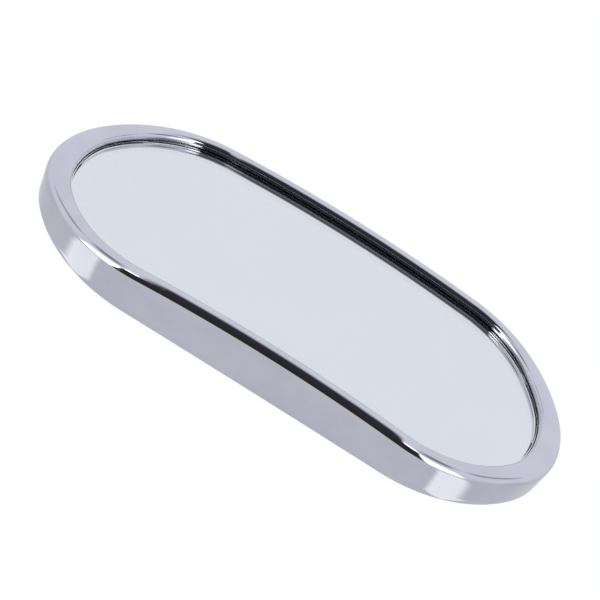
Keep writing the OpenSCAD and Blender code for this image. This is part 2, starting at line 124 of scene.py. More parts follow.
def add_node(tree: Tree, kind: str, inputs: dict | None = None, **settings: Any) -> bpy.types.Node:
    """Adds a node with its settings, and links or sets its inputs.

    Args:
        tree: the node tree.
        kind: the node's type name.
        inputs: socket name or index to a value, or to the output socket that feeds it.
        settings: the node's own properties.

    Returns:
        The new node.
    """
    node = tree.nodes.new(kind)
    for name, value in settings.items():
        setattr(node, name, value)
    for key, value in (inputs or {}).items():
        if isinstance(value, Socket):
            tree.links.new(value, node.inputs[key])
        else:
            node.inputs[key].default_value = value
    return node


# ---------------------------------------------------------------- meshes


@dataclass(frozen=True)
class Place:
    """A part's own frame in the row: its origin in metres, its +Z axis and its +X side."""

    origin: Vector
    axis: Vector
    side: Vector

    def matrix(self) -> Matrix:
        """The matrix from the part's own frame to the row frame.

        Returns:
            The matrix.
        """
        z = self.axis.normalized()
        x = (self.side - z * self.side.dot(z)).normalized()
        turn = Matrix((x, z.cross(x), z)).transposed().to_4x4()
        return Matrix.Translation(self.origin) @ turn

    def shifted(self, x: float = 0.0, y: float = 0.0, z: float = 0.0) -> "Place":
        """The same frame moved along its own axes, in millimetres."""
        return Place(self.matrix() @ Vector((x * MM, y * MM, z * MM)), self.axis, self.side)

    def facing(self, local_axis: Sequence[float], local_side: Sequence[float]) -> "Place":
        """A frame at the same origin whose +Z and +X are given in this one."""
        turn = self.matrix().to_3x3()
        return Place(self.origin, turn @ Vector(local_axis), turn @ Vector(local_side))


LEVEL = Place(Vector((0, 0, 0)), Vector((0, 0, 1)), Vector((1, 0, 0)))


def rounded(corners: Sequence[Corner], loop: bool = False, steps: int = 6) -> list[Point2]:
    """Rounds the corners of an outline.

    Args:
        corners: x, y and the radius of each corner, with 0 for a sharp one.
        loop: whether the outline closes on itself.
        steps: segments of each rounding.

    Returns:
        The points of the rounded outline.
    """
    points: list[Point2] = []
    count = len(corners)
    for i, (x, y, radius) in enumerate(corners):
        inner = loop or 0 < i < count - 1
        if radius <= 0 or not inner:
            points.append((x, y))
            continue
        here = Vector((x, y))
        to_last = Vector(corners[i - 1][:2]) - here
        to_next = Vector(corners[(i + 1) % count][:2]) - here
        half = to_last.angle(to_next) / 2
        reach = min(radius / math.tan(half), 0.49 * to_last.length, 0.49 * to_next.length)
        start, end = here + to_last.normalized() * reach, here + to_next.normalized() * reach
        bulge = reach * math.tan(half)
        middle = here + (to_last.normalized() + to_next.normalized()).normalized() * math.hypot(reach, bulge)
        a, b = start - middle, end - middle
        sweep = a.angle_signed(b)
        for k in range(steps + 1):
            spoke = a.copy()
            spoke.rotate(Matrix.Rotation(-sweep * k / steps, 2))
            points.append(tuple(middle + spoke))
    return points


def arc(cx: float, cy: float, radius: float, start: float, end: float, steps: int) -> list[Point2]:
    """Points of an arc, with its angles in degrees."""
    angles = (math.radians(start + (end - start) * k / steps) for k in range(steps + 1))
    return [(cx + radius * math.cos(a), cy + radius * math.sin(a)) for a in angles]


def finish_mesh(obj: bpy.types.Object, sharp: float = 32.0) -> bpy.types.Object:
    """Closes poles and seams, points the faces outwards and shades the piece smoothly between its edges.

    Args:
        obj: the piece.
        sharp: the angle in degrees above which an edge stays sharp.

    Returns:
        The same object.
    """
    mesh = obj.data
    work = bmesh.new()
    work.from_mesh(mesh)
    bmesh.ops.remove_doubles(work, verts=work.verts, dist=1e-7)
    bmesh.ops.dissolve_degenerate(work, edges=work.edges, dist=1e-8)
    bmesh.ops.recalc_face_normals(work, faces=work.faces)
    work.to_mesh(mesh)
    work.free()
    mesh.shade_smooth()
    mesh.set_sharp_from_angle(angle=math.radians(sharp))
    return obj


def loft(name: str, rings: Sequence[Sequence[Vector]], place: Place, loop: bool = False) -> bpy.types.Object:
    """Skins a closed solid over rings of points.

    Args:
        name: the piece's name.
        rings: rings of equally many points, in millimetres in the part's own frame.
        place: where the part's own frame stands.
        loop: whether the last ring joins the first; otherwise both ends are capped.

    Returns:
        The new object, in the row frame.
    """
    matrix, count = place.matrix(), len(rings[0])
    points = [matrix @ (Vector(p) * MM) for ring in rings for p in ring]
    faces: list[tuple[int, ...]] = []
    for j in range(len(rings) if loop else len(rings) - 1):
        low, high = j * count, (j + 1) % len(rings) * count
        faces += [(low + i, low + (i + 1) % count, high + (i + 1) % count, high + i) for i in range(count)]
    if not loop:
        faces += [tuple(range(count))[::-1], tuple(range((len(rings) - 1) * count, len(rings) * count))]
    mesh = bpy.data.meshes.new(name)
    mesh.from_pydata(points, [], faces)
    obj = bpy.data.objects.new(name, mesh)
    bpy.context.scene.collection.objects.link(obj)
    return finish_mesh(obj)


def lathe(
    name: str,
    profile: Sequence[Point2],
    place: Place,
    loop: bool = False,
    steps: int = 96,
    lift: Callable[[float], float] | None = None,
) -> bpy.types.Object:
    """Turns a profile round the part's own +Z.

    Args:
        name: the piece's name.
        profile: radius and height of each point, in millimetres.
        place: where the part's own frame stands.
        loop: whether the profile closes on itself, as on a ring.
        steps: facets round the axis.
        lift: height added at an angle, for a part that waves round its axis.

    Returns:
        The new object.
    """
    angles = [TURN * i / steps for i in range(steps)]
    rise = lift or (lambda _angle: 0.0)
    rings = [[Vector((r * math.cos(a), r * math.sin(a), z + rise(a))) for a in angles] for r, z in profile]
    return loft(name, rings, place, loop)


def hexagon(
    name: str, across: float, height: float, bore: float, place: Place, chamfer: float = 30.0
) -> bpy.types.Object:
    """A hexagonal nut or collar whose corners are turned off at both ends.

    Args:
        name: the piece's name.
        across: width across the flats.
        height: length along the axis.
        bore: radius of the hole, or 0 for none.
        place: where the part's own frame stands, with the lower end at its origin.
        chamfer: angle of the turned corners, in degrees.

    Returns:
        The new object.
    """
    steps, slope = 96, math.tan(math.radians(chamfer))
    turned = across / 2 * 0.98
    angles = [TURN * i / steps for i in range(steps)]
    reach = [across / 2 / math.cos((a + TURN / 12) % (TURN / 6) - TURN / 12) for a in angles]

    def ring(radii: Sequence[float], heights: Sequence[float]) -> list[Vector]:
        """One ring from its radii and heights."""
        return [Vector((r * math.cos(a), r * math.sin(a), z)) for r, a, z in zip(radii, angles, heights)]

    drop = [max(0.0, (r - turned) * slope) for r in reach]
    end = [min(r, turned) for r in reach]
    rings = [
        ring(end, [0.0] * steps),
        ring(reach, drop),
        ring(reach, [height - d for d in drop]),
        ring(end, [height] * steps),
    ]
    if bore > 0:
        lead = bore + 0.25
        rings += [
            ring([lead] * steps, [height] * steps),
            ring([bore] * steps, [height - 0.25] * steps),
            ring([bore] * steps, [0.25] * steps),
            ring([lead] * steps, [0.0] * steps),
        ]
    return loft(name, rings, place, loop=bore > 0)


def baked(obj: bpy.types.Object) -> bpy.types.Object:
    """Turns an object's modifiers into its plain mesh.

    Args:
        obj: the object.

    Returns:
        The same object.
    """
    bpy.context.view_layer.update()
    graph = bpy.context.evaluated_depsgraph_get()
    mesh = bpy.data.meshes.new_from_object(obj.evaluated_get(graph), depsgraph=graph)
    obj.modifiers.clear()
    obj.data = mesh
    return obj


def combined(body: bpy.types.Object, tools: Sequence[bpy.types.Object], how: Merge) -> bpy.types.Object:
    """Cuts the tools out of a body or joins them to it, and removes them.

    Args:
        body: the solid that is kept.
        tools: closed solids.
        how: cut or add.

    Returns:
        The body.
    """
    for tool in tools:
        modifier = body.modifiers.new("merge", "BOOLEAN")
        modifier.object, modifier.operation, modifier.solver = tool, how.value, "EXACT"
    baked(body)
    for tool in tools:
        bpy.data.objects.remove(tool)
    body.data.materials.clear()
    return finish_mesh(body)


def broken_edges(
    obj: bpy.types.Object, width: float, segments: int = 2, angle: float = 40.0
) -> bpy.types.Object:
    """Rounds a piece's sharp edges, as tumbling or a file does.

    Args:
        obj: the piece.
        width: width of the rounding, in millimetres.
        segments: facets across the rounding.
        angle: edges sharper than this, in degrees, are rounded.

    Returns:
        The same object.
    """
    bevel = obj.modifiers.new("edges", "BEVEL")
    bevel.width, bevel.segments = width * MM, segments
    bevel.limit_method, bevel.angle_limit = "ANGLE", math.radians(angle)
    bevel.miter_outer = "MITER_ARC"
    bevel.use_clamp_overlap = True
    weighted = obj.modifiers.new("normals", "WEIGHTED_NORMAL")
    weighted.keep_sharp = True
    obj.data.shade_smooth()
    return baked(obj)


def machined_copy(node: str, name: str, edge: float) -> bpy.types.Object:
    """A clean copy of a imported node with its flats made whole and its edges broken.

    Args:
        node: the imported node.
        name: the piece's name.
        edge: width of the broken edges, in millimetres.

    Returns:
        The new object.
    """
    mesh = frame["nodes"][node].data.copy()
    mesh.name = name
    mesh.materials.clear()
    obj = bpy.data.objects.new(name, mesh)
    bpy.context.scene.collection.objects.link(obj)
    work = bmesh.new()
    work.from_mesh(mesh)
    bmesh.ops.remove_doubles(work, verts=work.verts, dist=2e-6)
    bmesh.ops.dissolve_limit(work, angle_limit=math.radians(0.6), verts=work.verts, edges=work.edges)
    work.to_mesh(mesh)
    work.free()
    finish_mesh(obj)
    return broken_edges(obj, edge)


# ---------------------------------------------------------------- finishes


@dataclass(frozen=True)
class Finish:
    """A surface finish. Patterns read Object coordinates turned to millimetres."""

    name: str

    def start(self) -> tuple[bpy.types.Material, Tree, bpy.types.Node, Socket]:
        """Makes the material with its shader, and the coordinates in millimetres.

        Returns:
            The material, its tree, its Principled shader and the coordinates.
        """
        material = bpy.data.materials.new(self.name)
        material.use_nodes = True
        tree = material.node_tree
        shader = tree.nodes["Principled BSDF"]
        where = add_node(tree, "ShaderNodeTexCoord").outputs["Object"]
        scale = 1 / MM
        mapping = add_node(tree, "ShaderNodeMapping", {"Vector": where, "Scale": (scale, scale, scale)})
        return material, tree, shader, mapping.outputs["Vector"]

    def mottled(self, tree: Tree, where: Socket, pitch: float, detail: float = 3.0) -> Socket:
        """Soft noise between 0 and 1 whose patches are about pitch millimetres wide."""
        settings = {"Vector": where, "Scale": 1 / pitch, "Detail": detail, "Roughness": 0.55}
        return add_node(tree, "ShaderNodeTexNoise", settings).outputs["Fac"]

    def ramp(
        self, tree: Tree, value: Socket, low: float, high: float, to_low: float, to_high: float
    ) -> Socket:
        """Maps a value from one range to another, smoothly and clamped.

        Args:
            tree: the node tree.
            value: the socket that is mapped.
            low: start of its range.
            high: end of its range.
            to_low: what the start becomes.
            to_high: what the end becomes.

        Returns:
            The socket with the mapped value.
        """
        limits = {"Value": value, 1: low, 2: high, 3: to_low, 4: to_high}
        node = add_node(tree, "ShaderNodeMapRange", limits, interpolation_type="SMOOTHSTEP")
        return node.outputs["Result"]

    def tint(self, tree: Tree, share: Socket, first: str, second: str) -> Socket:
        """Mixes two hex colours by a share.

        Args:
            tree: the node tree.
            share: the share of the second colour.
            first: the first colour, as hex.
            second: the second colour, as hex.

        Returns:
            The socket with the colour.
        """
        mix = add_node(tree, "ShaderNodeMix", {"Factor": share}, data_type="RGBA")
        mix.inputs[6].default_value, mix.inputs[7].default_value = linear(first), linear(second)
        return mix.outputs[2]

    def relief(self, tree: Tree, height: Socket, depth: float) -> Socket:
        """Bumps the surface by a height, with the depth of the relief in millimetres."""
        inputs = {"Height": height, "Distance": depth * MM, "Strength": 1.0}
        return add_node(tree, "ShaderNodeBump", inputs).outputs["Normal"]

    def build(self) -> bpy.types.Material:
        """Builds the material."""
        raise NotImplementedError


@dataclass(frozen=True)
class ChromePlate(Finish):
    """Bright decorative chrome over buffed nickel: mirror-like, bluish grey, with wiping haze and dust."""

    bright: str = "#D8D9E3"
    deep: str = "#D2D3DE"
    haze: float = 0.085
    grime: str = "#8E8F94"

    def build(self) -> bpy.types.Material:
        """Builds the material.

        Returns:
            The material.
        """
        material, tree, shader, where = self.start()
        tone = self.mottled(tree, where, 18.0)
        colour = self.tint(tree, self.ramp(tree, tone, 0.35, 0.65, 0, 1), self.bright, self.deep)
        # Wiping haze lies in patches of a few centimetres, broken by fine smears about 2 mm wide
        smear = self.mottled(tree, where, 2.2, 5.0)
        patch = self.mottled(tree, where, 30.0)
        haze = add_node(tree, "ShaderNodeMath", {0: smear, 1: patch}, operation="MULTIPLY").outputs[0]
        rough = self.ramp(tree, haze, 0.18, 0.42, 0.025, self.haze)
        # Settled dust: specks a third of a millimetre across, few and pale
        cells = add_node(tree, "ShaderNodeTexVoronoi", {"Vector": where, "Scale": 0.32, "Randomness": 1.0})
        speck = self.ramp(tree, cells.outputs["Distance"], 0.035, 0.06, 1, 0)
        keep = self.ramp(tree, self.mottled(tree, where, 7.0), 0.56, 0.62, 0, 1)
        dust = add_node(tree, "ShaderNodeMath", {0: speck, 1: keep}, operation="MULTIPLY").outputs[0]
        dusty = add_node(tree, "ShaderNodeMix", {"Factor": dust, 6: colour}, data_type="RGBA")
        dusty.inputs[7].default_value = linear(self.grime)
        rough = add_node(tree, "ShaderNodeMath", {0: rough, 1: dust}, operation="MAXIMUM").outputs[0]
        tree.links.new(dusty.outputs[2], shader.inputs["Base Color"])
        tree.links.new(rough, shader.inputs["Roughness"])
        # Buffing leaves a faint waviness a few millimetres long and under a micrometre deep
        wave = self.mottled(tree, where, 5.0, 1.0)
        tree.links.new(self.relief(tree, wave, 0.0012), shader.inputs["Normal"])
        shader.inputs["Metallic"].default_value = 1.0
        return material


@dataclass(frozen=True)
class ToolMarkedChrome(Finish):
    """Chrome over a turned and only lightly buffed inner wall: fine lines run along the wall."""

    base: str = "#D6D7E1"
    line_pitch: float = 0.16

    def build(self) -> bpy.types.Material:
        """Builds the material.

        Returns:
            The material.
        """
        material, tree, shader, where = self.start()
        depth = add_node(tree, "ShaderNodeAttribute", attribute_name="wall_depth").outputs["Fac"]
        xyz = add_node(tree, "ShaderNodeSeparateXYZ", {"Vector": where})
        slow = 0.035
        along = [
            add_node(tree, "ShaderNodeMath", {0: xyz.outputs[i], 1: slow}, operation="MULTIPLY").outputs[0]
            for i in (0, 2)
        ]
        fine = add_node(
            tree, "ShaderNodeMath", {0: depth, 1: 1 / self.line_pitch}, operation="MULTIPLY"
        ).outputs[0]
        coords = add_node(tree, "ShaderNodeCombineXYZ", {0: along[0], 1: along[1], 2: fine}).outputs[0]
        lines = add_node(
            tree, "ShaderNodeTexNoise", {"Vector": coords, "Scale": 1.0, "Detail": 2.0}
        ).outputs["Fac"]
        # The lines are drawn about three times as coarse as a tool leaves them, so that they show
        tree.links.new(self.relief(tree, lines, 0.008), shader.inputs["Normal"])
        tree.links.new(self.tint(tree, lines, self.base, "#C9C9D0"), shader.inputs["Base Color"])
        tree.links.new(self.ramp(tree, lines, 0.3, 0.7, 0.04, 0.12), shader.inputs["Roughness"])
        shader.inputs["Metallic"].default_value = 1.0
        return material


@dataclass(frozen=True)
class PolishedSteel(Finish):
    """Hardened steel, ground and polished: warmer and darker than chrome, with fine grinding lines."""

    base: str = "#C2C1BE"
    deep: str = "#A9A8A6"

    def build(self) -> bpy.types.Material:
        """Builds the material.

        Returns:
            The material.
        """
        material, tree, shader, where = self.start()
        stretched = add_node(tree, "ShaderNodeMapping", {"Vector": where, "Scale": (0.4, 6.0, 6.0)})
        grain = self.mottled(tree, stretched.outputs["Vector"], 1.0, 4.0)
        tree.links.new(self.tint(tree, grain, self.base, self.deep), shader.inputs["Base Color"])
        tree.links.new(self.ramp(tree, grain, 0.3, 0.7, 0.12, 0.26), shader.inputs["Roughness"])
        tree.links.new(self.relief(tree, grain, 0.002), shader.inputs["Normal"])
        shader.inputs["Metallic"].default_value = 1.0
        return material


@dataclass(frozen=True)
class BlackOxideSteel(Finish):
    """Alloy steel with a black oxide: oily dark grey, worn to brown-grey in patches."""

    base: str = "#1B1B1D"
    worn: str = "#45403C"

    def build(self) -> bpy.types.Material:
        """Builds the material.

        Returns:
            The material.
        """
        material, tree, shader, where = self.start()
        wear = self.ramp(tree, self.mottled(tree, where, 1.4, 6.0), 0.5, 0.7, 0, 1)
        grain = self.mottled(tree, where, 0.25, 2.0)
        tree.links.new(self.tint(tree, wear, self.base, self.worn), shader.inputs["Base Color"])
        tree.links.new(self.ramp(tree, grain, 0.2, 0.8, 0.32, 0.5), shader.inputs["Roughness"])
        tree.links.new(self.relief(tree, grain, 0.004), shader.inputs["Normal"])
        shader.inputs["Metallic"].default_value = 0.85
        return material


@dataclass(frozen=True)
class SpringSteel(Finish):
    """Blued spring steel, stamped: straw to violet-grey where the temper colour varies."""

    straw: str = "#A88F63"
    blue: str = "#6F7480"

    def build(self) -> bpy.types.Material:
        """Builds the material.

        Returns:
            The material.
        """
        material, tree, shader, where = self.start()
        temper = self.ramp(tree, self.mottled(tree, where, 5.0), 0.35, 0.65, 0, 1)
        grain = self.mottled(tree, where, 0.3, 2.0)
        tree.links.new(self.tint(tree, temper, self.straw, self.blue), shader.inputs["Base Color"])
        tree.links.new(self.ramp(tree, grain, 0.2, 0.8, 0.22, 0.38), shader.inputs["Roughness"])
        tree.links.new(self.relief(tree, grain, 0.003), shader.inputs["Normal"])
        shader.inputs["Metallic"].default_value = 1.0
        return material


@dataclass(frozen=True)
class ZincPlate(Finish):
    """Pressed steel with passivated zinc: pale blue-grey with a faint iridescent bloom and rolled grain."""

    base: str = "#A9AEB4"
    bloom: str = "#B8AF98"

    def build(self) -> bpy.types.Material:
        """Builds the material.

        Returns:
            The material.
        """
        material, tree, shader, where = self.start()
        rolled = add_node(tree, "ShaderNodeMapping", {"Vector": where, "Scale": (0.05, 1.0, 1.0)})
        grain = self.mottled(tree, rolled.outputs["Vector"], 0.5, 4.0)
        bloom = self.ramp(tree, self.mottled(tree, where, 12.0), 0.45, 0.7, 0, 0.7)
        tree.links.new(self.tint(tree, bloom, self.base, self.bloom), shader.inputs["Base Color"])
        tree.links.new(self.ramp(tree, grain, 0.25, 0.75, 0.3, 0.48), shader.inputs["Roughness"])
        tree.links.new(self.relief(tree, grain, 0.006), shader.inputs["Normal"])
        shader.inputs["Metallic"].default_value = 1.0
        return material


@dataclass(frozen=True)
class FloatGlass(Finish):
    """Clear bent float glass: colourless in its thickness, with the faintest haze where it was wiped."""

    def build(self) -> bpy.types.Material:
        """Builds the material.

        Returns:
            The material.
        """
        material, tree, shader, where = self.start()
        wiped = self.mottled(tree, where, 25.0, 4.0)
        tree.links.new(self.ramp(tree, wiped, 0.4, 0.75, 0.0, 0.012), shader.inputs["Roughness"])
        tree.links.new(self.tint(tree, wiped, "#FBFDFC", "#F7FAF9"), shader.inputs["Base Color"])
        shader.inputs["Transmission Weight"].default_value = 1.0
        shader.inputs["IOR"].default_value = 1.52
        return material


@dataclass(frozen=True)
class Silvering(Finish):
    """Vacuum-coated mirror silver, sealed with paint: near-perfect reflection, a breath of blue."""

    base: str = "#F4F6FA"
    deep: str = "#F0F3F8"

    def build(self) -> bpy.types.Material:
        """Builds the material.

        Returns:
            The material.
        """
        material, tree, shader, where = self.start()
        cloud = self.mottled(tree, where, 40.0)
        tree.links.new(self.tint(tree, cloud, self.base, self.deep), shader.inputs["Base Color"])
        tree.links.new(self.ramp(tree, cloud, 0.3, 0.7, 0.0, 0.02), shader.inputs["Roughness"])
        shader.inputs["Metallic"].default_value = 1.0
        return material


@dataclass(frozen=True)
class CellFoam(Finish):
    """Closed-cell polyethylene foam tape: charcoal, dull, with cells a third of a millimetre wide."""

    base: str = "#26272A"
    cell: str = "#3B3C40"

    def build(self) -> bpy.types.Material:
        """Builds the material.

        Returns:
            The material.
        """
        material, tree, shader, where = self.start()
        cells = add_node(tree, "ShaderNodeTexVoronoi", {"Vector": where, "Scale": 3.0}).outputs["Distance"]
        tree.links.new(self.tint(tree, cells, self.cell, self.base), shader.inputs["Base Color"])
        tree.links.new(self.ramp(tree, cells, 0.0, 0.6, 0.75, 0.95), shader.inputs["Roughness"])
        tree.links.new(self.relief(tree, cells, 0.06), shader.inputs["Normal"])
        return material


@dataclass(frozen=True)
class MouldedRubber(Finish):
    """Moulded EPDM rubber: matt black with bloom and a fine spark-eroded grain."""

    base: str = "#17181A"
    bloom: str = "#2C2D30"

    def build(self) -> bpy.types.Material:
        """Builds the material.

        Returns:
            The material.
        """
        material, tree, shader, where = self.start()
        grain = self.mottled(tree, where, 0.35, 3.0)
        bloom = self.ramp(tree, self.mottled(tree, where, 6.0), 0.4, 0.75, 0, 1)
        tree.links.new(self.tint(tree, bloom, self.base, self.bloom), shader.inputs["Base Color"])
        tree.links.new(self.ramp(tree, grain, 0.2, 0.8, 0.6, 0.85), shader.inputs["Roughness"])
        tree.links.new(self.relief(tree, grain, 0.02), shader.inputs["Normal"])
        return material


@dataclass(frozen=True)
class MouldedNylon(Finish):
    """Natural polyamide, injection moulded: milky off-white, waxy, light glows a little way in."""

    base: str = "#E9E4D6"
    deep: str = "#DDD6C4"

    def build(self) -> bpy.types.Material:
        """Builds the material.

        Returns:
            The material.
        """
        material, tree, shader, where = self.start()
        flow = self.mottled(tree, where, 4.0)
        grain = self.mottled(tree, where, 0.3, 2.0)
        tree.links.new(self.tint(tree, flow, self.base, self.deep), shader.inputs["Base Color"])
        tree.links.new(self.ramp(tree, grain, 0.2, 0.8, 0.34, 0.46), shader.inputs["Roughness"])
        tree.links.new(self.relief(tree, grain, 0.003), shader.inputs["Normal"])
        shader.inputs["Subsurface Weight"].default_value = 0.25
        shader.inputs["Subsurface Radius"].default_value = (1.0, 0.8, 0.6)
        shader.inputs["Subsurface Scale"].default_value = 1.2 * MM
        return material


@dataclass
class Finishes:
    """Every finish by the slot that uses it, built once."""

    materials: dict[Slot, bpy.types.Material] = field(default_factory=dict)
    tool_marked: bpy.types.Material | None = None

    def build(self) -> "Finishes":
        """Builds all the materials.

        Returns:
            The same finishes.
        """
        makers = {
            Slot.CHROME: ChromePlate("bright_chrome_plate"),
            Slot.KNURLED: ChromePlate("knurled_chrome_plate", bright="#DADADF", deep="#CFCFD6", haze=0.14),
            Slot.POLISHED_STEEL: PolishedSteel("polished_steel"),
            Slot.BLACK_STEEL: BlackOxideSteel("black_oxide_steel"),
            Slot.SPRING_STEEL: SpringSteel("blued_spring_steel"),
            Slot.ZINC: ZincPlate("passivated_zinc"),
            Slot.GLASS: FloatGlass("clear_float_glass"),
            Slot.SILVERING: Silvering("mirror_silvering"),
            Slot.FOAM: CellFoam("closed_cell_foam"),
            Slot.RUBBER: MouldedRubber("moulded_rubber"),
            Slot.NYLON: MouldedNylon("moulded_nylon"),
        }
        self.materials = {slot: maker.build() for slot, maker in makers.items()}
        self.tool_marked = ToolMarkedChrome("tool_marked_chrome").build()
        return self


@dataclass
class Bench:
    """Where pieces are dressed and put on their bodies."""

    finishes: Finishes
    pieces: list[str] = field(default_factory=list)

    def fit(self, obj: bpy.types.Object, slot: Slot, body: str, *nodes: str) -> bpy.types.Object:
        """Gives a piece its finish and its body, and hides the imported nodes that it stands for.

        Args:
            obj: the piece.
            slot: the material slot.
            body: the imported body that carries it.
            nodes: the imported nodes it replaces.

        Returns:
            The same object.
        """
        material = self.finishes.materials[slot]
        if obj.data.materials:
            obj.data.materials[0] = material
        else:
            obj.data.materials.append(material)
        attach(obj, body)
        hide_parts(*nodes)
        self.pieces.append(obj.name)
        LOG.info("%s: %d faces, on %s, %s", obj.name, len(obj.data.polygons), body, slot.value)
        return obj


# ---------------------------------------------------------------- geometry nodes


class NodeTool:
    """A Geometry Nodes tree that is run once on an object and leaves a plain mesh."""

    def __init__(self, name: str, sockets: dict[str, str]) -> None:
        """Makes an empty tree.

        Args:
            name: the tree's name.
            sockets: input names and their socket types.
        """
        self.tree = bpy.data.node_groups.new(name, "GeometryNodeTree")
        self.ids: dict[str, str] = {}
        self.tree.interface.new_socket("Geometry", in_out="OUTPUT", socket_type="NodeSocketGeometry")
        for label, kind in {"Geometry": "NodeSocketGeometry", **sockets}.items():
            item = self.tree.interface.new_socket(label, in_out="INPUT", socket_type=kind)
            self.ids[label] = item.identifier
        self.entry = add_node(self.tree, "NodeGroupInput")
        self.exit = add_node(self.tree, "NodeGroupOutput")

    def node(self, kind: str, inputs: dict | None = None, **settings: Any) -> bpy.types.Node:
        """Adds a node to the tree."""
        return add_node(self.tree, kind, inputs, **settings)

    def get(self, label: str) -> Socket:
        """The socket of a named input."""
        return self.entry.outputs[label]

    def chance(self, top: Socket | float) -> Socket:
        """Adds a random number for each element, from 0 up.

        Args:
            top: the highest number, as a value or a socket.

        Returns:
            The socket with the number.
        """
        spread = self.node("FunctionNodeRandomValue", {"Seed": self.get("Seed")}, data_type="FLOAT")
        highest = next(socket for socket in spread.inputs if socket.enabled and socket.name == "Max")
        if isinstance(top, Socket):
            self.tree.links.new(top, highest)
        else:
            highest.default_value = top
        return next(socket for socket in spread.outputs if socket.enabled)

    def close(self, geometry: Socket) -> None:
        """Ends the tree in Realize Instances and Set Material.

        Args:
            geometry: what the tree has built.
        """
        real = self.node("GeometryNodeRealizeInstances", {"Geometry": geometry}).outputs[0]
        dressed = self.node("GeometryNodeSetMaterial", {"Geometry": real, "Material": self.get("Material")})
        self.tree.links.new(dressed.outputs[0], self.exit.inputs[0])

    def run(self, obj: bpy.types.Object, values: dict[str, Any]) -> bpy.types.Object:
        """Runs the tree on an object and keeps the result as its plain mesh.

        Args:
            obj: the object.
            values: input names and their values.

        Returns:
            The same object.
        """
        modifier = obj.modifiers.new(self.tree.name, "NODES")
        modifier.node_group = self.tree
        for label, value in values.items():
            modifier[self.ids[label]] = value
        return baked(obj)


def ring_tool() -> NodeTool:
    """A tool that sets copies of a part evenly on a circle round +Z, facing outwards.

    Returns:
        The tool.
    """
    tool = NodeTool(
        "parts_on_a_circle",
        {
            "Part": "NodeSocketObject",
            "Count": "NodeSocketInt",
            "Radius": "NodeSocketFloat",
            "Height": "NodeSocketFloat",
            "First Angle": "NodeSocketFloat",
            "Random Turn": "NodeSocketFloat",
            "Seed": "NodeSocketInt",
            "Material": "NodeSocketMaterial",
        },
    )
    circle = tool.node(
        "GeometryNodeMeshCircle", {"Vertices": tool.get("Count"), "Radius": tool.get("Radius")}
    )
    lift = tool.node("ShaderNodeCombineXYZ", {2: tool.get("Height")}).outputs[0]
    first = tool.node("ShaderNodeCombineXYZ", {2: tool.get("First Angle")}).outputs[0]
    moved = tool.node(
        "GeometryNodeTransform", {"Geometry": circle.outputs[0], "Translation": lift, "Rotation": first}
    )
    place = tool.node("GeometryNodeInputPosition").outputs[0]
    flat = tool.node("ShaderNodeVectorMath", {0: place, 1: (1.0, 1.0, 0.0)}, operation="MULTIPLY").outputs[0]
    facing = tool.node("FunctionNodeAlignRotationToVector", {"Vector": flat}, axis="X", pivot_axis="Z")
    part = tool.node("GeometryNodeObjectInfo", {"Object": tool.get("Part")}).outputs["Geometry"]
    twist = tool.node("ShaderNodeCombineXYZ", {2: tool.chance(tool.get("Random Turn"))}).outputs[0]
    copies = tool.node(
        "GeometryNodeInstanceOnPoints",
        {"Points": moved.outputs[0], "Instance": part, "Rotation": facing.outputs[0]},
    )
    turned = tool.node("GeometryNodeRotateInstances", {"Instances": copies.outputs[0], "Rotation": twist})
    joined = tool.node("GeometryNodeJoinGeometry", {"Geometry": turned.outputs[0]})
    tool.tree.links.new(tool.get("Geometry"), joined.inputs[0])
    tool.close(joined.outputs[0])
    return tool


def grid_tool() -> NodeTool:
    """A tool that sets a copy of a part at each corner of a rectangle, each turned by chance.

    Returns:
        The tool.
    """
    tool = NodeTool(
        "parts_at_corners",
        {
            "Part": "NodeSocketObject",
            "Length": "NodeSocketFloat",
            "Width": "NodeSocketFloat",
            "Height": "NodeSocketFloat",
            "Seed": "NodeSocketInt",
            "Material": "NodeSocketMaterial",
        },
    )
    grid = tool.node(
        "GeometryNodeMeshGrid",
        {"Size X": tool.get("Length"), "Size Y": tool.get("Width"), "Vertices X": 2, "Vertices Y": 2},
    )
    lift = tool.node("ShaderNodeCombineXYZ", {2: tool.get("Height")}).outputs[0]
    moved = tool.node("GeometryNodeTransform", {"Geometry": grid.outputs[0], "Translation": lift})
    part = tool.node("GeometryNodeObjectInfo", {"Object": tool.get("Part")}).outputs["Geometry"]
    twist = tool.node("ShaderNodeCombineXYZ", {2: tool.chance(TURN)}).outputs[0]
    copies = tool.node("GeometryNodeInstanceOnPoints", {"Points": moved.outputs[0], "Instance": part})
    turned = tool.node("GeometryNodeRotateInstances", {"Instances": copies.outputs[0], "Rotation": twist})
    tool.close(turned.outputs[0])
    return tool


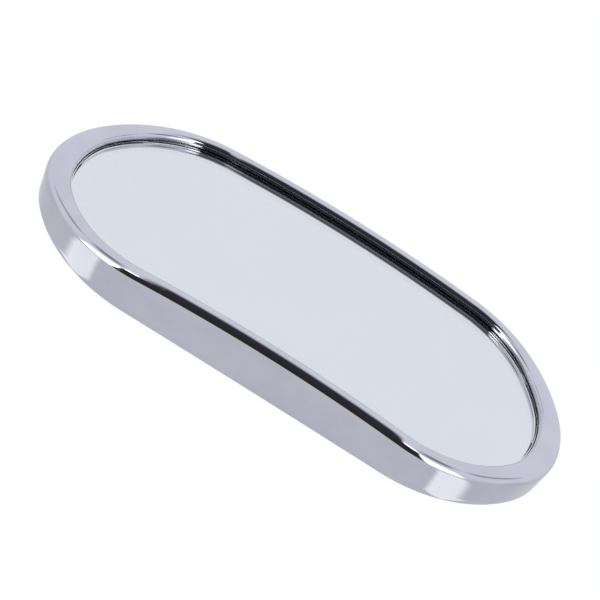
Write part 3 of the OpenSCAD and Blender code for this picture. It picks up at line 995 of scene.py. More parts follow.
def thread_tool() -> NodeTool:
    """A tool that winds a thread's ridge round +Z.

    Returns:
        The tool.
    """
    tool = NodeTool(
        "thread_ridge",
        {
            "Turns": "NodeSocketFloat",
            "Radius": "NodeSocketFloat",
            "Length": "NodeSocketFloat",
            "Start": "NodeSocketFloat",
            "Ridge": "NodeSocketFloat",
            "Material": "NodeSocketMaterial",
        },
    )
    helix = tool.node(
        "GeometryNodeCurveSpiral",
        {
            "Resolution": 20,
            "Rotations": tool.get("Turns"),
            "Start Radius": tool.get("Radius"),
            "End Radius": tool.get("Radius"),
            "Height": tool.get("Length"),
        },
    )
    lift = tool.node("ShaderNodeCombineXYZ", {2: tool.get("Start")}).outputs[0]
    moved = tool.node("GeometryNodeTransform", {"Geometry": helix.outputs[0], "Translation": lift})
    ridge = tool.node("GeometryNodeCurvePrimitiveCircle", {"Resolution": 4, "Radius": tool.get("Ridge")})
    wound = tool.node(
        "GeometryNodeCurveToMesh",
        {"Curve": moved.outputs[0], "Profile Curve": ridge.outputs[0], "Fill Caps": True},
    )
    joined = tool.node("GeometryNodeJoinGeometry", {"Geometry": wound.outputs[0]})
    tool.tree.links.new(tool.get("Geometry"), joined.inputs[0])
    tool.close(joined.outputs[0])
    return tool


# ---------------------------------------------------------------- the head


def joint(name: str) -> dict:
    """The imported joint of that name."""
    return next(j for j in frame["joints"] if j["name"] == name)


@dataclass(frozen=True)
class Station:
    """A point of the head's outline, with the direction of its outward normal in radians."""

    x: float
    y: float
    angle: float

    def inward(self, inset: float) -> tuple[float, float]:
        """The station's point moved inwards."""
        return self.x - inset * math.cos(self.angle), self.y - inset * math.sin(self.angle)


@dataclass
class HeadShape:
    """The head's outline, arch and layers, lying on its back with +Z out of the glass."""

    sag: float = 9.4
    shoulder_more: float = 12.0
    end_less: float = 9.0
    rim_outer: float = 3.0
    rim_inner: float = 2.2
    crown_side: float = 0.1
    crown_end: float = 4.8
    draft: float = math.radians(6)
    glass_drop: float = 1.0
    glass_t: float = 2.0
    coat_t: float = 0.2
    pad_t: float = 0.8
    carrier_t: float = 1.2
    end_steps: int = 16
    shoulder_steps: int = 44
    side_steps: int = 24

    def __post_init__(self) -> None:
        """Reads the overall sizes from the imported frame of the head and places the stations."""
        low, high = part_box("mirror_frame")
        self.half_len = (high.x - low.x) / 2 / MM
        self.half_w = (high.z - low.z) / 2 / MM
        self.depth = (high.y - low.y) / MM
        self.place = Place(Vector((0, high.y, (high.z + low.z) / 2)), Vector((0, -1, 0)), Vector((1, 0, 0)))
        self.face_r = (self.half_len**2 + self.sag**2) / (2 * self.sag)
        self.glass_top = self.rim_inner + self.glass_drop
        self.coat_top = self.glass_top + self.glass_t
        self.pad_top = self.coat_top + self.coat_t
        self.carrier_top = self.pad_top + self.pad_t
        self.ledge_top = self.carrier_top + self.carrier_t
        quarter = self.quarter()
        mirrored = [Station(-s.x, s.y, math.pi - s.angle) for s in quarter[:0:-1]]
        upper = [*quarter, *mirrored[1:], Station(-self.half_len, 0.0, math.pi)]
        lower = [Station(s.x, -s.y, TURN - s.angle) for s in upper[-2:0:-1]]
        self.stations = [*upper, *lower]
        self.columns = len(upper)

    def quarter(self) -> list[Station]:
        """Stations from the right-hand end to the middle of the upper side.

        Returns:
            The stations, in order.
        """
        shoulder_r, end_r = self.half_w + self.shoulder_more, self.half_w - self.end_less
        end_x = self.half_len - end_r
        shoulder_x = end_x - math.sqrt((shoulder_r - end_r) ** 2 - self.shoulder_more**2)
        turn = math.atan2(self.shoulder_more, end_x - shoulder_x)
        stations = [
            Station(end_x + end_r * math.cos(a), end_r * math.sin(a), a)
            for a in (turn * k / self.end_steps for k in range(self.end_steps))
        ]
        rest = math.pi / 2 - turn
        stations += [
            Station(shoulder_x + shoulder_r * math.cos(a), shoulder_r * math.sin(a) - self.shoulder_more, a)
            for a in (turn + rest * k / self.shoulder_steps for k in range(self.shoulder_steps))
        ]
        stations += [
            Station(shoulder_x * (1 - k / self.side_steps), self.half_w, math.pi / 2)
            for k in range(self.side_steps + 1)
        ]
        return stations

    def layer(self, x: float, depth: float) -> float:
        """Height of the arched layer that lies a depth below the crown."""
        return self.depth - self.face_r + math.sqrt((self.face_r - depth) ** 2 - x * x)

    def wall_inset(self, s: Station) -> float:
        """Inset of the inner wall at a station."""
        crown = self.crown_side + self.crown_end * math.cos(s.angle) ** 2
        return self.rim_outer + crown + self.rim_inner

    def skirt_inset(self, s: Station, z: float) -> float:
        """Inset of the drafted side wall at a height."""
        top = self.layer(s.x, self.rim_outer * (1 + math.sin(self.draft)))
        return self.rim_outer * (1 - math.cos(self.draft)) + (top - z) * math.tan(self.draft)

    def point(self, s: Station, inset: float, z: float) -> Vector:
        """A point at an inset and a height."""
        x, y = s.inward(inset)
        return Vector((x, y, z))

    def arched(self, s: Station, inset: float, depth: float) -> Vector:
        """A point at an inset, on the arched layer of that depth."""
        x, y = s.inward(inset)
        return Vector((x, y, self.layer(x, depth)))


@dataclass
class HeadFrame:
    """The die-cast ring that is rim, side wall and ledge in one, chromed all over."""

    shape: HeadShape
    wall_t: float = 2.2
    lip_w: float = 1.2
    edge: float = 0.6
    ledge_w: float = 4.0
    ledge_t: float = 1.5
    cover_in: float = 2.0
    groove_pitch: float = 0.3
    groove_depth: float = 0.014
    outer_steps: int = 26
    inner_steps: int = 16
    crown_steps: int = 5
    skirt_steps: int = 6

    def section(self, s: Station) -> list[Vector]:
        """The section at a station, from the back edge round the rim to the cover's seat.

        Args:
            s: the station.

        Returns:
            Its points; every station has as many.
        """
        h = self.shape
        top = h.layer(s.x, h.rim_outer * (1 + math.sin(h.draft)))
        points = []
        for k in range(self.skirt_steps):
            z = self.edge + (top - self.edge) * k / self.skirt_steps
            points.append(h.point(s, h.skirt_inset(s, z), z))
        for k in range(self.outer_steps + 1):
            a = (math.pi / 2 + h.draft) * (1 - k / self.outer_steps)
            points.append(h.arched(s, h.rim_outer * (1 - math.sin(a)), h.rim_outer * (1 - math.cos(a))))
        wall = h.wall_inset(s)
        crown = wall - h.rim_inner - h.rim_outer
        for k in range(1, self.crown_steps):
            points.append(h.arched(s, h.rim_outer + crown * k / self.crown_steps, 0.0))
        for k in range(self.inner_steps + 1):
            a = math.pi / 2 * k / self.inner_steps
            points.append(
                h.arched(s, wall - h.rim_inner * (1 - math.sin(a)), h.rim_inner * (1 - math.cos(a)))
            )
        self.first_groove = len(points)
        for depth, dip in self.grooves():
            points.append(h.arched(s, wall + dip, depth))
        self.last_groove = len(points)
        under = h.layer(s.x, h.ledge_top + self.ledge_t)
        points += [
            h.arched(s, wall, h.ledge_top),
            h.arched(s, wall + self.ledge_w - 0.3, h.ledge_top),
            h.arched(s, wall + self.ledge_w, h.ledge_top + 0.3),
            h.arched(s, wall + self.ledge_w, h.ledge_top + self.ledge_t),
            h.arched(s, h.skirt_inset(s, under) + self.wall_t, h.ledge_top + self.ledge_t),
            h.point(s, h.skirt_inset(s, self.cover_in) + self.wall_t, self.cover_in),
            h.point(s, h.skirt_inset(s, 0) + self.lip_w, self.cover_in),
            h.point(s, h.skirt_inset(s, 0) + self.lip_w, 0.15),
            h.point(s, h.skirt_inset(s, 0) + self.lip_w - 0.15, 0),
        ]
        for k in range(5):
            a = math.pi / 2 * k / 4
            inset = h.skirt_inset(s, 0) + self.edge * (1 - math.sin(a))
            points.append(h.point(s, inset, self.edge * (1 - math.cos(a))))
        return points[:-1]

    def grooves(self) -> list[Point2]:
        """Depth and dip of each point of the turned lines, down to below the glass's edge.

        Returns:
            Rows of depth and dip, in millimetres.
        """
        start, end = self.shape.rim_inner + 0.12, self.shape.glass_top + 0.4
        count = max(1, round((end - start) / self.groove_pitch))
        fine = 6
        rows = []
        for k in range(count * fine + 1):
            depth = start + (end - start) * k / (count * fine)
            swell = 0.7 + 0.3 * math.sin(2.3 * k / fine)
            rows.append((depth, self.groove_depth * swell * (1 - math.cos(TURN * k / fine)) / 2))
        return rows

    def build(self, bench: Bench) -> None:
        """Builds the frame and marks its turned inner wall.

        Args:
            bench: where pieces are dressed and put on their bodies.
        """
        h = self.shape
        sections = [self.section(s) for s in h.stations]
        rings = [[section[j] for section in sections] for j in range(len(sections[0]))]
        obj = loft("mirror_frame_casting", rings, h.place, loop=True)
        count = len(h.stations)
        mesh = obj.data
        marks = mesh.attributes.new("wall_depth", "FLOAT", "POINT")
        inverse = h.place.matrix().inverted()
        for i, vertex in enumerate(mesh.vertices):
            local = inverse @ vertex.co / MM
            marks.data[i].value = h.layer(local.x, 0.0) - local.z
        bench.fit(obj, Slot.CHROME, "head", "mirror_frame")
        mesh.materials.append(bench.finishes.tool_marked)
        low, high = (self.first_groove - 1) * count, self.last_groove * count
        for face in mesh.polygons:
            if all(low <= v < high for v in face.vertices):
                face.material_index = 1


@dataclass
class GlassStack:
    """The bent glass, its silvering, the foam pad and the carrier plate."""

    shape: HeadShape
    gap: float = 0.25
    glass_edge: float = 0.35
    coat_inset: float = 0.5
    pad_inset: float = 2.5
    bite: float = 0.03  # the silver reaches this far into the glass, so that no ray passes between them

    def bent(self, name: str, front: float, back: float, inset: float, edge: float) -> bpy.types.Object:
        """A bent plate between two depths.

        Args:
            name: the piece's name.
            front: depth of its front below the crown.
            back: depth of its back.
            inset: gap from the inner wall.
            edge: width of its ground edges.

        Returns:
            The new object.
        """
        h = self.shape
        layers = [(inset + edge, front), (inset, front + edge), (inset, back - edge), (inset + edge, back)]
        rings = [[h.arched(s, h.wall_inset(s) + u, d) for s in h.stations] for u, d in layers]
        count, last = len(h.stations), h.columns - 1
        matrix = h.place.matrix()
        points = [matrix @ (p * MM) for ring in rings for p in ring]
        faces = [
            (
                j * count + i, j * count + (i + 1) % count,
                (j + 1) * count + (i + 1) % count, (j + 1) * count + i,
            )
            for j in range(len(rings) - 1)
            for i in range(count)
        ]
        for offset in (0, (len(rings) - 1) * count):
            for i in range(last):
                strip = [
                    offset + i, offset + i + 1,
                    offset + (count - i - 1) % count, offset + (count - i) % count,
                ]
                faces.append(tuple(dict.fromkeys(strip)))
        mesh = bpy.data.meshes.new(name)
        mesh.from_pydata(points, [], faces)
        obj = bpy.data.objects.new(name, mesh)
        bpy.context.scene.collection.objects.link(obj)
        return finish_mesh(obj)

    def build(self, bench: Bench) -> None:
        """Builds the four layers.

        Args:
            bench: where pieces are dressed and put on their bodies.
        """
        h = self.shape
        glass = self.bent("bent_mirror_glass", h.glass_top, h.coat_top, self.gap, self.glass_edge)
        coat = self.bent(
            "silver_coating", h.coat_top - self.bite, h.pad_top, self.gap + self.coat_inset, 0.05
        )
        pad = self.bent("foam_pad", h.pad_top, h.carrier_top, self.gap + self.pad_inset, 0.12)
        carrier = machined_copy("carrier_plate", "pressed_carrier_plate", 0.15)
        bench.fit(glass, Slot.GLASS, "head", "mirror_glass")
        bench.fit(coat, Slot.SILVERING, "head", "silver_coat")
        bench.fit(pad, Slot.FOAM, "head", "glass_pad")
        bench.fit(carrier, Slot.ZINC, "head", "carrier_plate")


def flat_screw(
    name: str, head_r: float, head_t: float, shank_r: float, length: float, drive: float
) -> bpy.types.Object:
    """A countersunk screw with a hexagon socket, its head's face at z = 0, pointing down -Z.

    Args:
        name: the piece's name.
        head_r: radius of the head.
        head_t: height of the head.
        shank_r: radius of the shank.
        length: whole length.
        drive: radius across the corners of the socket.

    Returns:
        The new object, at the origin.
    """
    profile = rounded(
        [(0, -length, 0), (shank_r * 0.75, -length, 0.1), (shank_r, -length + 0.5, 0.1),
         (shank_r, -head_t, 0.2), (head_r, -0.12, 0.05), (head_r - 0.12, 0, 0.05),
         (drive + 0.25, 0, 0.1), (drive + 0.05, -0.12, 0),
         (0, -0.12, 0)],
        steps=3,
    )
    screw = lathe(name, profile, LEVEL, steps=48)
    depth = head_t * 0.6
    socket = lathe("socket", [(drive, -depth), (drive, 0.5)], LEVEL, steps=6)
    return combined(screw, [socket], Merge.CUT)


@dataclass
class BackCover:
    """The chromed plate that closes the back, with its pressed bead and four screws."""

    shape: HeadShape
    recess: float = 0.2
    thickness: float = 1.8
    inset: float = 1.35
    boss_x: float = 60.0
    boss_y: float = 22.0
    hub_r: float = 8.05
    screw_head_r: float = 2.8
    screw_head_t: float = 1.3
    screw_r: float = 1.25
    screw_len: float = 6.8

    def build(self, bench: Bench) -> None:
        """Builds the plate and its screws.

        Args:
            bench: where pieces are dressed and put on their bodies.
        """
        h = self.shape
        low, high = self.recess, self.recess + self.thickness
        steps = [
            (0.0, high), (0.0, low + 0.35), (0.1, low + 0.1), (0.35, low), (0.7, low), (3.6, low),
            (4.0, low + 0.08), (4.5, low + 0.42), (4.9, low + 0.5), (6.1, low + 0.5),
            (6.5, low + 0.42), (7.0, low + 0.08),
            (7.4, low), (7.8, low),
        ]
        rings = [
            [h.point(s, h.skirt_inset(s, 0) + self.inset + u, z) for s in h.stations] for u, z in steps
        ]
        plate = loft("back_cover_plate", rings, h.place)
        back = Place(h.place.matrix() @ Vector((0, 0, low * MM)), -h.place.axis, h.place.side)
        cuts = []
        for x in (-self.boss_x, self.boss_x):
            for y in (-self.boss_y, self.boss_y):
                sink = self.screw_head_r + 0.15
                hole = [(0, -3), (1.8, -3), (1.8, -self.screw_head_t), (sink, 0), (sink, 1), (0, 1)]
                cuts.append(lathe("sink", hole, back.shifted(x, y), steps=48))
        cuts.append(lathe("hub_hole", [(0, -3), (self.hub_r, -3), (self.hub_r, 1), (0, 1)], back, steps=72))
        plate = combined(plate, cuts, Merge.CUT)
        bench.fit(plate, Slot.CHROME, "head", "back_cover")
        pattern = flat_screw(
            "screw_pattern", self.screw_head_r, self.screw_head_t, self.screw_r, self.screw_len, 1.1
        )
        hidden_pattern(pattern)
        screws = empty_mesh("back_cover_screws")
        grid_tool().run(
            screws,
            {
                "Part": pattern,
                "Length": 2 * self.boss_x * MM,
                "Width": 2 * self.boss_y * MM,
                "Height": 0.0,
                "Seed": 7,
                "Material": bench.finishes.materials[Slot.CHROME],
            },
        )
        screws.data.transform(back.matrix())
        bpy.data.objects.remove(pattern)
        bench.fit(finish_mesh(screws), Slot.CHROME, "head", "cover_screws")


def empty_mesh(name: str) -> bpy.types.Object:
    """An object with no faces yet.

    Args:
        name: the piece's name.

    Returns:
        The new object.
    """
    obj = bpy.data.objects.new(name, bpy.data.meshes.new(name))
    bpy.context.scene.collection.objects.link(obj)
    return obj


def hidden_pattern(obj: bpy.types.Object) -> bpy.types.Object:
    """Hides a pattern piece from the render while tools copy it."""
    obj.hide_render = True
    return obj


@dataclass
class LevellingSwivel:
    """The flange that turns on the back cover, its wave washer and the ring that holds it."""

    place: Place
    flange_r: float = 14.0
    flange_t: float = 2.6
    hub_r: float = 8.0
    hub_len: float = 1.5
    bore_r: float = 5.02
    ring_in: float = 14.3
    ring_out: float = 20.0
    ring_open: float = 9.5
    lip_z: float = 3.15
    ring_h: float = 4.75
    wave_t: float = 0.5
    screw_pr: float = 17.15
    screw_head_r: float = 2.3
    screw_head_t: float = 1.0
    screw_r: float = 1.25
    screw_len: float = 6.2

    def build(self, bench: Bench) -> None:
        """Builds the swivel's pieces.

        Args:
            bench: where pieces are dressed and put on their bodies.
        """
        flange = lathe(
            "swivel_flange",
            rounded(
                [(self.bore_r, -self.hub_len, 0.1), (self.hub_r, -self.hub_len, 0.3), (self.hub_r, 0, 0.15),
                 (self.flange_r, 0, 0.3), (self.flange_r, self.flange_t, 0.4),
                 (self.bore_r, self.flange_t, 0.1)],
                loop=True, steps=4,
            ),
            self.place, loop=True,
        )
        bench.fit(flange, Slot.CHROME, "socket", "socket_flange")
        self.build_washer(bench)
        ring = lathe(
            "swivel_ring",
            rounded(
                [(self.ring_in, 0, 0.1), (self.ring_out, 0, 0.25), (self.ring_out, self.ring_h, 1.3),
                 (self.ring_open, self.ring_h, 0.5), (self.ring_open, self.lip_z, 0.2),
                 (self.ring_in, self.lip_z, 0.1)],
                loop=True,
            ),
            self.place, loop=True, steps=144,
        )
        cuts = []
        for i in range(3):
            a = math.radians(90 + 120 * i)
            spot = self.place.shifted(self.screw_pr * math.cos(a), self.screw_pr * math.sin(a), self.ring_h)
            sink = self.screw_head_r + 0.15
            hole = [(0, -6), (1.4, -6), (1.4, -self.screw_head_t), (sink, -0.02), (sink, 1), (0, 1)]
            cuts.append(lathe("sink", hole, spot, steps=40))
        ring = combined(ring, cuts, Merge.CUT)
        bench.fit(ring, Slot.CHROME, "head", "flange_ring")
        pattern = flat_screw(
            "screw_pattern", self.screw_head_r, self.screw_head_t, self.screw_r, self.screw_len, 0.95
        )
        screws = empty_mesh("swivel_ring_screws")
        ring_tool().run(
            screws,
            {
                "Part": hidden_pattern(pattern),
                "Count": 3,
                "Radius": self.screw_pr * MM,
                "Height": self.ring_h * MM,
                "First Angle": math.pi / 2,
                "Random Turn": TURN,
                "Seed": 3,
                "Material": bench.finishes.materials[Slot.CHROME],
            },
        )
        screws.data.transform(self.place.matrix())
        bpy.data.objects.remove(pattern)
        bench.fit(finish_mesh(screws), Slot.CHROME, "head", "ring_screws")

    def build_washer(self, bench: Bench) -> None:
        """Builds the wave washer, whose three waves fill the gap above the flange.

        Args:
            bench: where pieces are dressed and put on their bodies.
        """
        z, outer, inner = self.flange_t + 0.03, self.flange_r - 0.5, self.ring_open + 0.5
        thin = self.wave_t * 0.5
        wave = lathe(
            "wave_washer",
            rounded(
                [(inner, z, 0.05), (outer, z, 0.05), (outer, z + thin, 0.05), (inner, z + thin, 0.05)], True, 2
            ),
            self.place, loop=True,
            lift=lambda a: (self.wave_t - thin) * (1 + math.sin(3 * a)) / 2,
        )
        bench.fit(wave, Slot.SPRING_STEEL, "head", "levelling_washer")


@dataclass
class BallJoint:
    """The socket with its liner and knurled nut, and the ball stud with its jam nut."""

    arm: Place
    ball_r: float = 6.35
    seat_r: float = 7.7
    collar_r: float = 9.8
    nut_r: float = 12.0
    nut_back: float = 2.7
    nut_front: float = 7.5
    nut_seat: float = 3.15
    mouth: float = 50.0
    neck_r: float = 3.0
    hex_start: float = 12.0
    hex_t: float = 2.5
    thread_start: float = 14.5
    thread_len: float = 17.0
    thread_r: float = 2.5
    pitch: float = 0.8
    jam_start: float = 15.3
    jam_t: float = 3.0
    knurls: int = 84

    def build_nut(self, bench: Bench) -> None:
        """Builds the ring nut and its two bands of straight knurling.

        Args:
            bench: where pieces are dressed and put on their bodies.
        """
        root, m = self.nut_r - 0.28, math.radians(self.mouth)
        mouth_z, mouth_r = self.seat_r * math.cos(m), self.seat_r * math.sin(m)
        lip_r = mouth_r + (self.nut_front - mouth_z) * math.tan(m)
        bore = self.collar_r + 0.02
        seat_angle = math.degrees(math.asin(self.nut_seat / self.seat_r))
        seat = arc(0, 0, self.seat_r, 90 - self.mouth, seat_angle, 6)[1:-1]
        outline = [
            (bore, -self.nut_back, 0.15), (root, -self.nut_back, 0.4), (root, 1.7, 0.1),
            (root - 0.5, 1.9, 0.15), (root - 0.5, 2.5, 0.15), (root, 2.7, 0.1),
            (root, self.nut_front - 1.5, 0.5),
            (root - 1.3, self.nut_front, 0.4), (lip_r, self.nut_front, 0.25), (mouth_r, mouth_z, 0),
            *[(x, y, 0) for x, y in seat],
            (math.sqrt(self.seat_r**2 - self.nut_seat**2), self.nut_seat, 0), (bore, self.nut_seat, 0),
        ]
        nut = lathe("knurled_ring_nut", rounded(outline, loop=True, steps=4), self.arm, loop=True, steps=168)
        screw_axis = self.arm.facing((1, 0, 0), (0, 0, 1))
        nut = combined(
            nut, [lathe("hole", [(0, 8), (1.47, 8), (1.47, 13), (0, 13)], screw_axis, steps=32)], Merge.CUT
        )
        bench.fit(nut, Slot.CHROME, "socket", "socket_nut")
        for name, low, high in (("ring_nut_knurl_back", -2.35, 1.65), ("ring_nut_knurl_front", 2.75, 5.75)):
            half = math.pi * root / self.knurls * 0.96
            tip, inside = self.nut_r, root - 0.1
            rib_rings = [
                [Vector((inside, -half, z)), Vector((tip - cut, -0.12, z)), Vector((tip - cut, 0.12, z)),
                 Vector((inside, half, z))]
                for z, cut in ((low, 0.28), (low + 0.3, 0.0), (high - 0.3, 0.0), (high, 0.28))
            ]
            shifted = [[p - Vector((root, 0, low)) for p in ring] for ring in rib_rings]
            rib = hidden_pattern(loft("rib_pattern", shifted, LEVEL))
            knurl = empty_mesh(name)
            ring_tool().run(
                knurl,
                {
                    "Part": rib,
                    "Count": self.knurls,
                    "Radius": root * MM,
                    "Height": low * MM,
                    "First Angle": math.pi / self.knurls,
                    "Random Turn": 0.0,
                    "Seed": 0,
                    "Material": bench.finishes.materials[Slot.KNURLED],
                },
            )
            knurl.data.transform(self.arm.matrix())
            bpy.data.objects.remove(rib)
            bench.fit(finish_mesh(knurl, sharp=25.0), Slot.KNURLED, "socket", "socket_nut")

    def build_stud(self, bench: Bench) -> None:
        """Builds the ball stud with its collar and thread.

        Args:
            bench: where pieces are dressed and put on their bodies.
        """
        lean = math.degrees(math.asin(self.neck_r / self.ball_r))
        ball = arc(0, 0, self.ball_r, -90, 90 - lean - 1, 36)
        core = self.thread_r - 0.3
        top = self.thread_start + self.thread_len
        stem = rounded(
            [(self.neck_r, self.ball_r * math.cos(math.radians(lean)) + 0.5, 0.2),
             (self.neck_r, self.hex_start, 0),
             (self.neck_r, self.thread_start - 0.6, 0.2), (core, self.thread_start - 0.4, 0.2),
             (core, top - 0.6, 0), (core - 0.6, top, 0), (0, top, 0)],
            steps=5,
        )
        stud = lathe("ball_stud_turned", [*ball, *stem], self.arm, steps=96)
        collar = hexagon("collar", 8.0, self.hex_t, 0.0, self.arm.shifted(z=self.hex_start))
        stud = combined(stud, [collar], Merge.ADD)
        ridge = empty_mesh("ball_stud_thread")
        thread_tool().run(
            ridge,
            {
                "Turns": (self.thread_len - 1.6) / self.pitch,
                "Radius": (core + 0.02) * MM,
                "Length": (self.thread_len - 1.6) * MM,
                "Start": (self.thread_start + 0.6) * MM,
                "Ridge": 0.28 * MM,
                "Material": bench.finishes.materials[Slot.POLISHED_STEEL],
            },
        )
        ridge.data.transform(self.arm.matrix())
        bench.fit(stud, Slot.POLISHED_STEEL, "arm", "ball_stud")
        bench.fit(finish_mesh(ridge), Slot.POLISHED_STEEL, "arm", "ball_stud")

    def build(self, bench: Bench) -> None:
        """Builds every piece of the ball joint.

        Args:
            bench: where pieces are dressed and put on their bodies.
        """
        bench.fit(machined_copy("socket_body", "socket_cup", 0.3), Slot.CHROME, "socket", "socket_body")
        bench.fit(machined_copy("ball_liner", "nylon_ball_liner", 0.12), Slot.NYLON, "liner", "ball_liner")
        grub = machined_copy("socket_grub_screw", "ring_nut_set_screw", 0.1)
        bench.fit(grub, Slot.BLACK_STEEL, "socket", "socket_grub_screw")
        self.build_nut(bench)
        self.build_stud(bench)
        jam = hexagon(
            "arm_jam_nut", 10.0, self.jam_t, self.thread_r + 0.02, self.arm.shifted(z=self.jam_start)
        )
        bench.fit(broken_edges(jam, 0.1), Slot.CHROME, "arm", "jam_nut")


@dataclass
class Arm:
    """The chromed arm, the eye that it swivels on and the set screw in the eye's groove."""

    arm: Place
    radius: float = 5.5
    start: float = 18.3
    end: float = 60.0
    thread_hole: float = 2.52
    thread_end: float = 33.5
    shank_hole: float = 3.95
    shank_start: float = 45.7
    screw_z: float = 53.0

    def build(self, bench: Bench) -> None:
        """Builds the arm's pieces.

        Args:
            bench: where pieces are dressed and put on their bodies.
        """
        tube = lathe(
            "arm_stem",
            rounded(
                [(0, self.thread_end, 0), (self.thread_hole, self.thread_end, 0),
                 (self.thread_hole, self.start, 0.2),
                 (self.radius - 0.8, self.start, 0.2), (self.radius, self.start + 1.1, 0.8),
                 (self.radius, self.start + 3.0, 0.15), (self.radius - 0.35, self.start + 3.25, 0.15),
                 (self.radius - 0.35, self.start + 3.9, 0.15), (self.radius, self.start + 4.15, 0.15),
                 (self.radius, self.end, 0.4), (self.shank_hole, self.end, 0.15),
                 (self.shank_hole, self.shank_start, 0), (0, self.shank_start, 0)],
                steps=5,
            ),
            self.arm,
        )
        axis = self.arm.shifted(z=self.screw_z).facing((1, 0, 0), (0, 0, 1))
        hole = lathe("hole", [(0, 2.5), (1.47, 2.5), (1.47, 5.2), (1.75, 5.6), (0, 7)], axis, steps=32)
        bench.fit(combined(tube, [hole], Merge.CUT), Slot.CHROME, "arm", "arm_tube")
        bench.fit(machined_copy("arm_eye", "arm_eye_forging", 0.3), Slot.CHROME, "eye", "arm_eye")
        screw = machined_copy("arm_set_screw", "arm_swivel_set_screw", 0.1)
        bench.fit(screw, Slot.BLACK_STEEL, "arm", "arm_set_screw")


